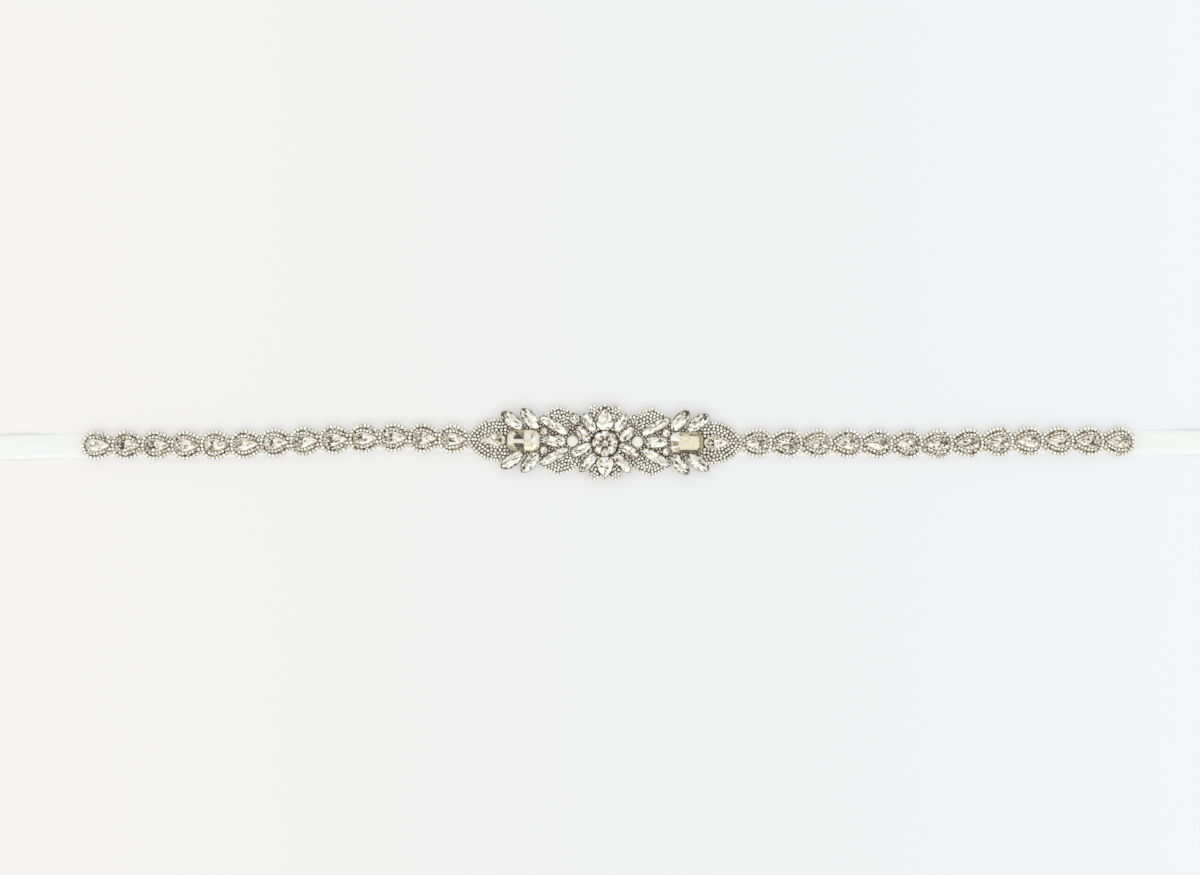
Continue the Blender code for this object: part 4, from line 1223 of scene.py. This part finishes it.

# Tones of painted reflection on the outer and on the inner steps, in the order of the fourteen corners. The
# wall below the girdle has a share of the outer ones, painted darker.
WALL_TONE_SHARE = 0.8
UNDERSIDE_TONE = 0.5
STEP_TONES = {
    "left": (
        (0.6, 0.85, 0.7, 0.75, 0.55, 0.5, 0.55, 0.68, 0.88, 0.62, 0.5, 0.45, 0.35, 0.62),
        (0.7, 0.93, 0.6, 0.84, 0.42, 0.2, 0.84, 0.76, 0.93, 0.7, 0.6, 0.36, 0.18, 0.74),
    ),
    "right": (
        (0.4, 0.55, 0.4, 0.62, 0.45, 0.74, 0.9, 0.95, 0.55, 0.95, 0.8, 0.36, 0.22, 0.2),
        (0.28, 0.42, 0.5, 0.36, 0.62, 0.34, 0.9, 1.0, 0.42, 1.0, 0.55, 0.22, 0.1, 0.15),
    ),
}


def step_cut(outline, side):
    """A step-cut rectangle: straight steps from the girdle to the table, whose facets meet along a sunk
    keel. The long sides and the left side are split where the reflections break."""
    long, short = STRAIGHT["long"], STRAIGHT["short"]
    splits = [outline[3] + (outline[4] - outline[3]) * (long - split) / (2 * long) for split in SPLITS]
    lower = [outline[7] + (outline[0] - outline[7]) * (long + split) / (2 * long) for split in SPLITS[::-1]]
    edges = (BEAM["high"], BEAM["low"])
    beam = [outline[5] + (outline[6] - outline[5]) * (short - edge) / (2 * short) for edge in edges]
    fourteen = np.vstack([outline[:4], splits, outline[4:6], beam, outline[6:], lower])
    n = len(fourteen)
    centre, shift = outline.mean(axis=0), np.array(TABLE_SHIFT[side])
    rings = []
    for step in RECTANGLE_STEPS:
        shrunk = scaled_about(fourteen, centre, step["share"]) + shift * step["shift"]
        rings.append(ring(shrunk, BACKING_TOP + step["height"]))
    wall, faces = band(rings, cap_high=False)
    last = RECTANGLE_STEPS[-1]
    half = np.array([RECTANGLE["length"], RECTANGLE["width"]]) / 2 * last["share"]
    keel = placed(np.array(KEEL_POINTS) * half, SIDES[side] * RECTANGLE["x"], 0.0) + shift
    points = np.vstack([wall, ring(keel, BACKING_TOP + last["height"] - KEEL_DROP)])
    corner = np.concatenate([3 * n + np.arange(n), len(wall) + np.arange(len(keel))])
    facets = corner[np.array([row["corners"] for row in TABLE_FACETS])]
    outer, inner = (np.array(tones) for tones in STEP_TONES[side])
    steps = np.concatenate([outer * WALL_TONE_SHARE, outer, inner])
    table_tones = [row[side] for row in TABLE_FACETS]
    tones = np.concatenate([steps, steps, np.full(n, UNDERSIDE_TONE), table_tones])
    return points, np.vstack([faces, facets]), tones


def make_rectangles(stones):
    nodes = [f"rectangle_{side}" for side in SIDES]
    crystals = [step_cut(stones[node], side) for node, side in zip(nodes, SIDES)]
    settings, size = [], CLAW_SIZES["rectangle"]
    for node in nodes:
        settings += setting(stones[node], "rectangle", BACKING_TOP, RECTANGLE_GIRDLE, size)
    make_piece("rectangle_crystals", crystals, "step_cut", nodes)
    make_piece("rectangle_settings", settings, "metal")


def make_domes():
    """Opaline domes: rings that shrink as the cosine while they rise as the sine, in a claw setting."""
    domes, settings = [], []
    for outline in placed_domes():
        rings = [ring(outline, PLATE_TOP)]
        for angle in np.linspace(0, pi / 2, 9)[:-1]:
            rise = CABOCHON["wall"] + CABOCHON["dome"] * sin(angle)
            rings.append(ring(scaled(outline, cos(angle)), PLATE_TOP + rise))
        domes.append(band(rings))
        fingers = claws(outline, CLAWS_AT["dome"], PLATE_TOP, CABOCHON["wall"], CLAW_SIZES["dome"])
        settings += [bezel(outline, PLATE_TOP, CABOCHON["bezel"]), fingers]
    nodes = [f"cabochon_{side}" for side in SIDES]
    make_piece("opaline_domes", domes, "opal", nodes, smooth=True)
    make_piece("dome_settings", settings, "metal")


def upright_petal_tones(n):
    """Tones of painted reflection on an upright petal: as any stone's, with a dark line from its tip down the
    middle of its table."""
    tones = painted_reflection_tones(8 * n, DARK_SHARE["upright"])
    tip = n // 2
    for row in (4, 5, 6):
        tones[[row * n + tip - 1, row * n + tip]] = rng.uniform(*TONES["dark_line"], 2)
    return tones


def make_flower():
    """The flower's plate, its petals and rosette, bead clusters on its rim, and small rhinestones between."""
    base, raised = placed_base(), FLOWER_PLATE_TOP
    petals = [placed_petal(sy) for sy in LEVELS.values()]
    petals += [outline for _, sx, sy in quarters() for outline in placed_side_petals(sx, sy)]
    crystals = [crystal(outline, raised, upright_petal_tones(len(outline))) for outline in petals[:2]]
    crystals += [crystal(outline, raised, navette_tones(len(outline))) for outline in petals[2:]]
    nodes = [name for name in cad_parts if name.startswith("petal")]
    make_piece("petal_crystals", crystals, "crystal", nodes)
    rosette = rosette_outlines()
    dark = DARK_SHARE["rosette"]
    crystals = [crystal(outline, raised, painted_reflection_tones(8 * len(outline), dark)) for outline in rosette]
    make_piece("rosette_crystals", crystals, "crystal", ["rosette"])
    settings = [bezel(outline, raised) for outline in petals]
    settings += [claws(outline, CLAWS_AT["petal"], raised) for outline in petals]
    settings += [bezel(outline, raised) for outline in rosette]
    small_claws = {"plate": raised, "size": CLAW_SIZES["rosette"]}
    settings += [claws(outline, CLAWS_AT["rosette"], **small_claws) for outline in rosette[:-1]]
    make_piece("flower_settings", settings, "metal")
    floor = plate(offset(base, -NET_INSET["flower"]), NET_BOTTOM, raised)
    make_piece("flower_plate", [floor], "net", ["flower_base"])
    clusters = [placed_disc(row) for row in FLOWER_CLUSTERS]
    round_it = placed(disc(ROSETTE_REACH, OUTLINE_POINTS["round_it"]), 0.0, FLOWER_Y)
    avoid = [*petals, *placed_domes(), *clusters, round_it]
    filling = paved(base, avoid, CUP_IN_MOTIF, rows_inwards=False)
    small = paved(base, avoid, CUP_IN_GAPS, taken=filling, rows_inwards=False)
    in_clusters = []
    for row, outline in zip(FLOWER_CLUSTERS, clusters):
        centre = outline.mean(axis=0)
        in_clusters.append(centre[None])
        if row["diameter"] > 2 * CUP_IN_CLUSTERS:
            in_clusters.append(centre + disc(2 * CUP_IN_CLUSTERS, 6) @ np.array([[0.0, 1.0], [-1.0, 0.0]]))
    small_rhinestones("flower", filling, raised, CUP_IN_MOTIF)
    small_rhinestones("petal_gap", small, raised, CUP_IN_GAPS)
    small_rhinestones("cluster", np.vstack(in_clusters), raised, CUP_IN_CLUSTERS)


def stone_outlines():
    """The outlines of the stones that stand on the backing, by name."""
    outlines = {"pad_stone": placed_disc(PAD_STONE)}
    for side, sx in SIDES.items():
        outlines[f"rectangle_{side}"] = placed_rectangle(sx)
        outlines[f"spray_middle_{side}"] = placed_navette(SPRAY_MIDDLE, sx, 1)
    for quarter, sx, sy in quarters():
        outlines[f"small_round_{quarter}"] = placed_disc(SMALL_ROUND, sx, sy)
        for name, row in NAVETTES.items():
            outlines[f"{name}_{quarter}"] = placed_navette(row, sx, sy)
    return outlines


def make_camera():
    """Straight above the sash."""
    camera = bpy.data.cameras.new("camera")
    camera.sensor_width = CAMERA["sensor"]
    camera.lens = CAMERA["sensor"] * CAMERA["distance"] / (CAMERA["units"] * CAMERA["unit"] * MM)
    camera.clip_end = CAMERA["far"]
    holder = bpy.data.objects.new("camera", camera)
    holder.location = (CAMERA["x"] * MM, CAMERA["y"] * MM, CAMERA["distance"])
    bpy.context.scene.collection.objects.link(holder)
    bpy.context.scene.camera = holder


def make_studio():
    """White paper under a pale, even sky, with a soft key light from the front and two small ones for
    sparkle."""
    corners = np.array([(-1, -1), (1, -1), (1, 1), (-1, 1)]) * FLOOR["half"]
    paper = (ring(corners, FLOOR["height"]), np.array([(0, 1, 2, 3)]))
    floor = make_piece("studio_floor", [paper], "paper")
    world = bpy.data.worlds.new("studio")
    world.use_nodes = True
    background = world.node_tree.nodes["Background"]
    background.inputs["Color"].default_value = srgb(SKY["colour"])
    background.inputs["Strength"].default_value = SKY["strength"]
    bpy.context.scene.world = world
    for row in SUNS:
        light = bpy.data.lights.new(row["name"], "SUN")
        light.energy = row["strength"]
        light.angle = radians(row["angle"])
        light.color = srgb(row["colour"])[:3]
        holder = bpy.data.objects.new(row["name"], light)
        holder.rotation_euler = [radians(angle) for angle in row["tilt"]]
        bpy.context.scene.collection.objects.link(holder)
    bpy.context.scene.view_settings.view_transform = "Standard"


def main():
    stones = stone_outlines()
    middle = [outline for name, outline in stones.items() if not name.startswith("wing")]
    middle += [placed_pad(sx, sy) for _, sx, sy in quarters()]
    middle += [offset(placed_rectangle(sx), BACKING_AT_RECTANGLES) for sx in SIDES.values()]
    middle += [placed_base(), *(placed_disc(row) for row in FLOWER_CLUSTERS)]
    shapes = {
        "links": [in_link(link_outline(side), side, i) for side in SIDES for i in range(LINKS_A_SIDE)],
        "leaves": [in_leaf(leaf_outline(), side) for side in SIDES],
        "middle": middle,
        "wings": [outline for name, outline in stones.items() if name.startswith("wing")],
    }
    make_camera()
    make_studio()
    make_ribbon()
    make_backing(shapes)
    make_links()
    make_stitches()
    placed_already = np.vstack([make_leaves(stones), make_pads(stones)])
    fill_gaps(middle, stones, placed_already)
    make_navettes(stones)
    make_rectangles(stones)
    make_domes()
    make_flower()


main()
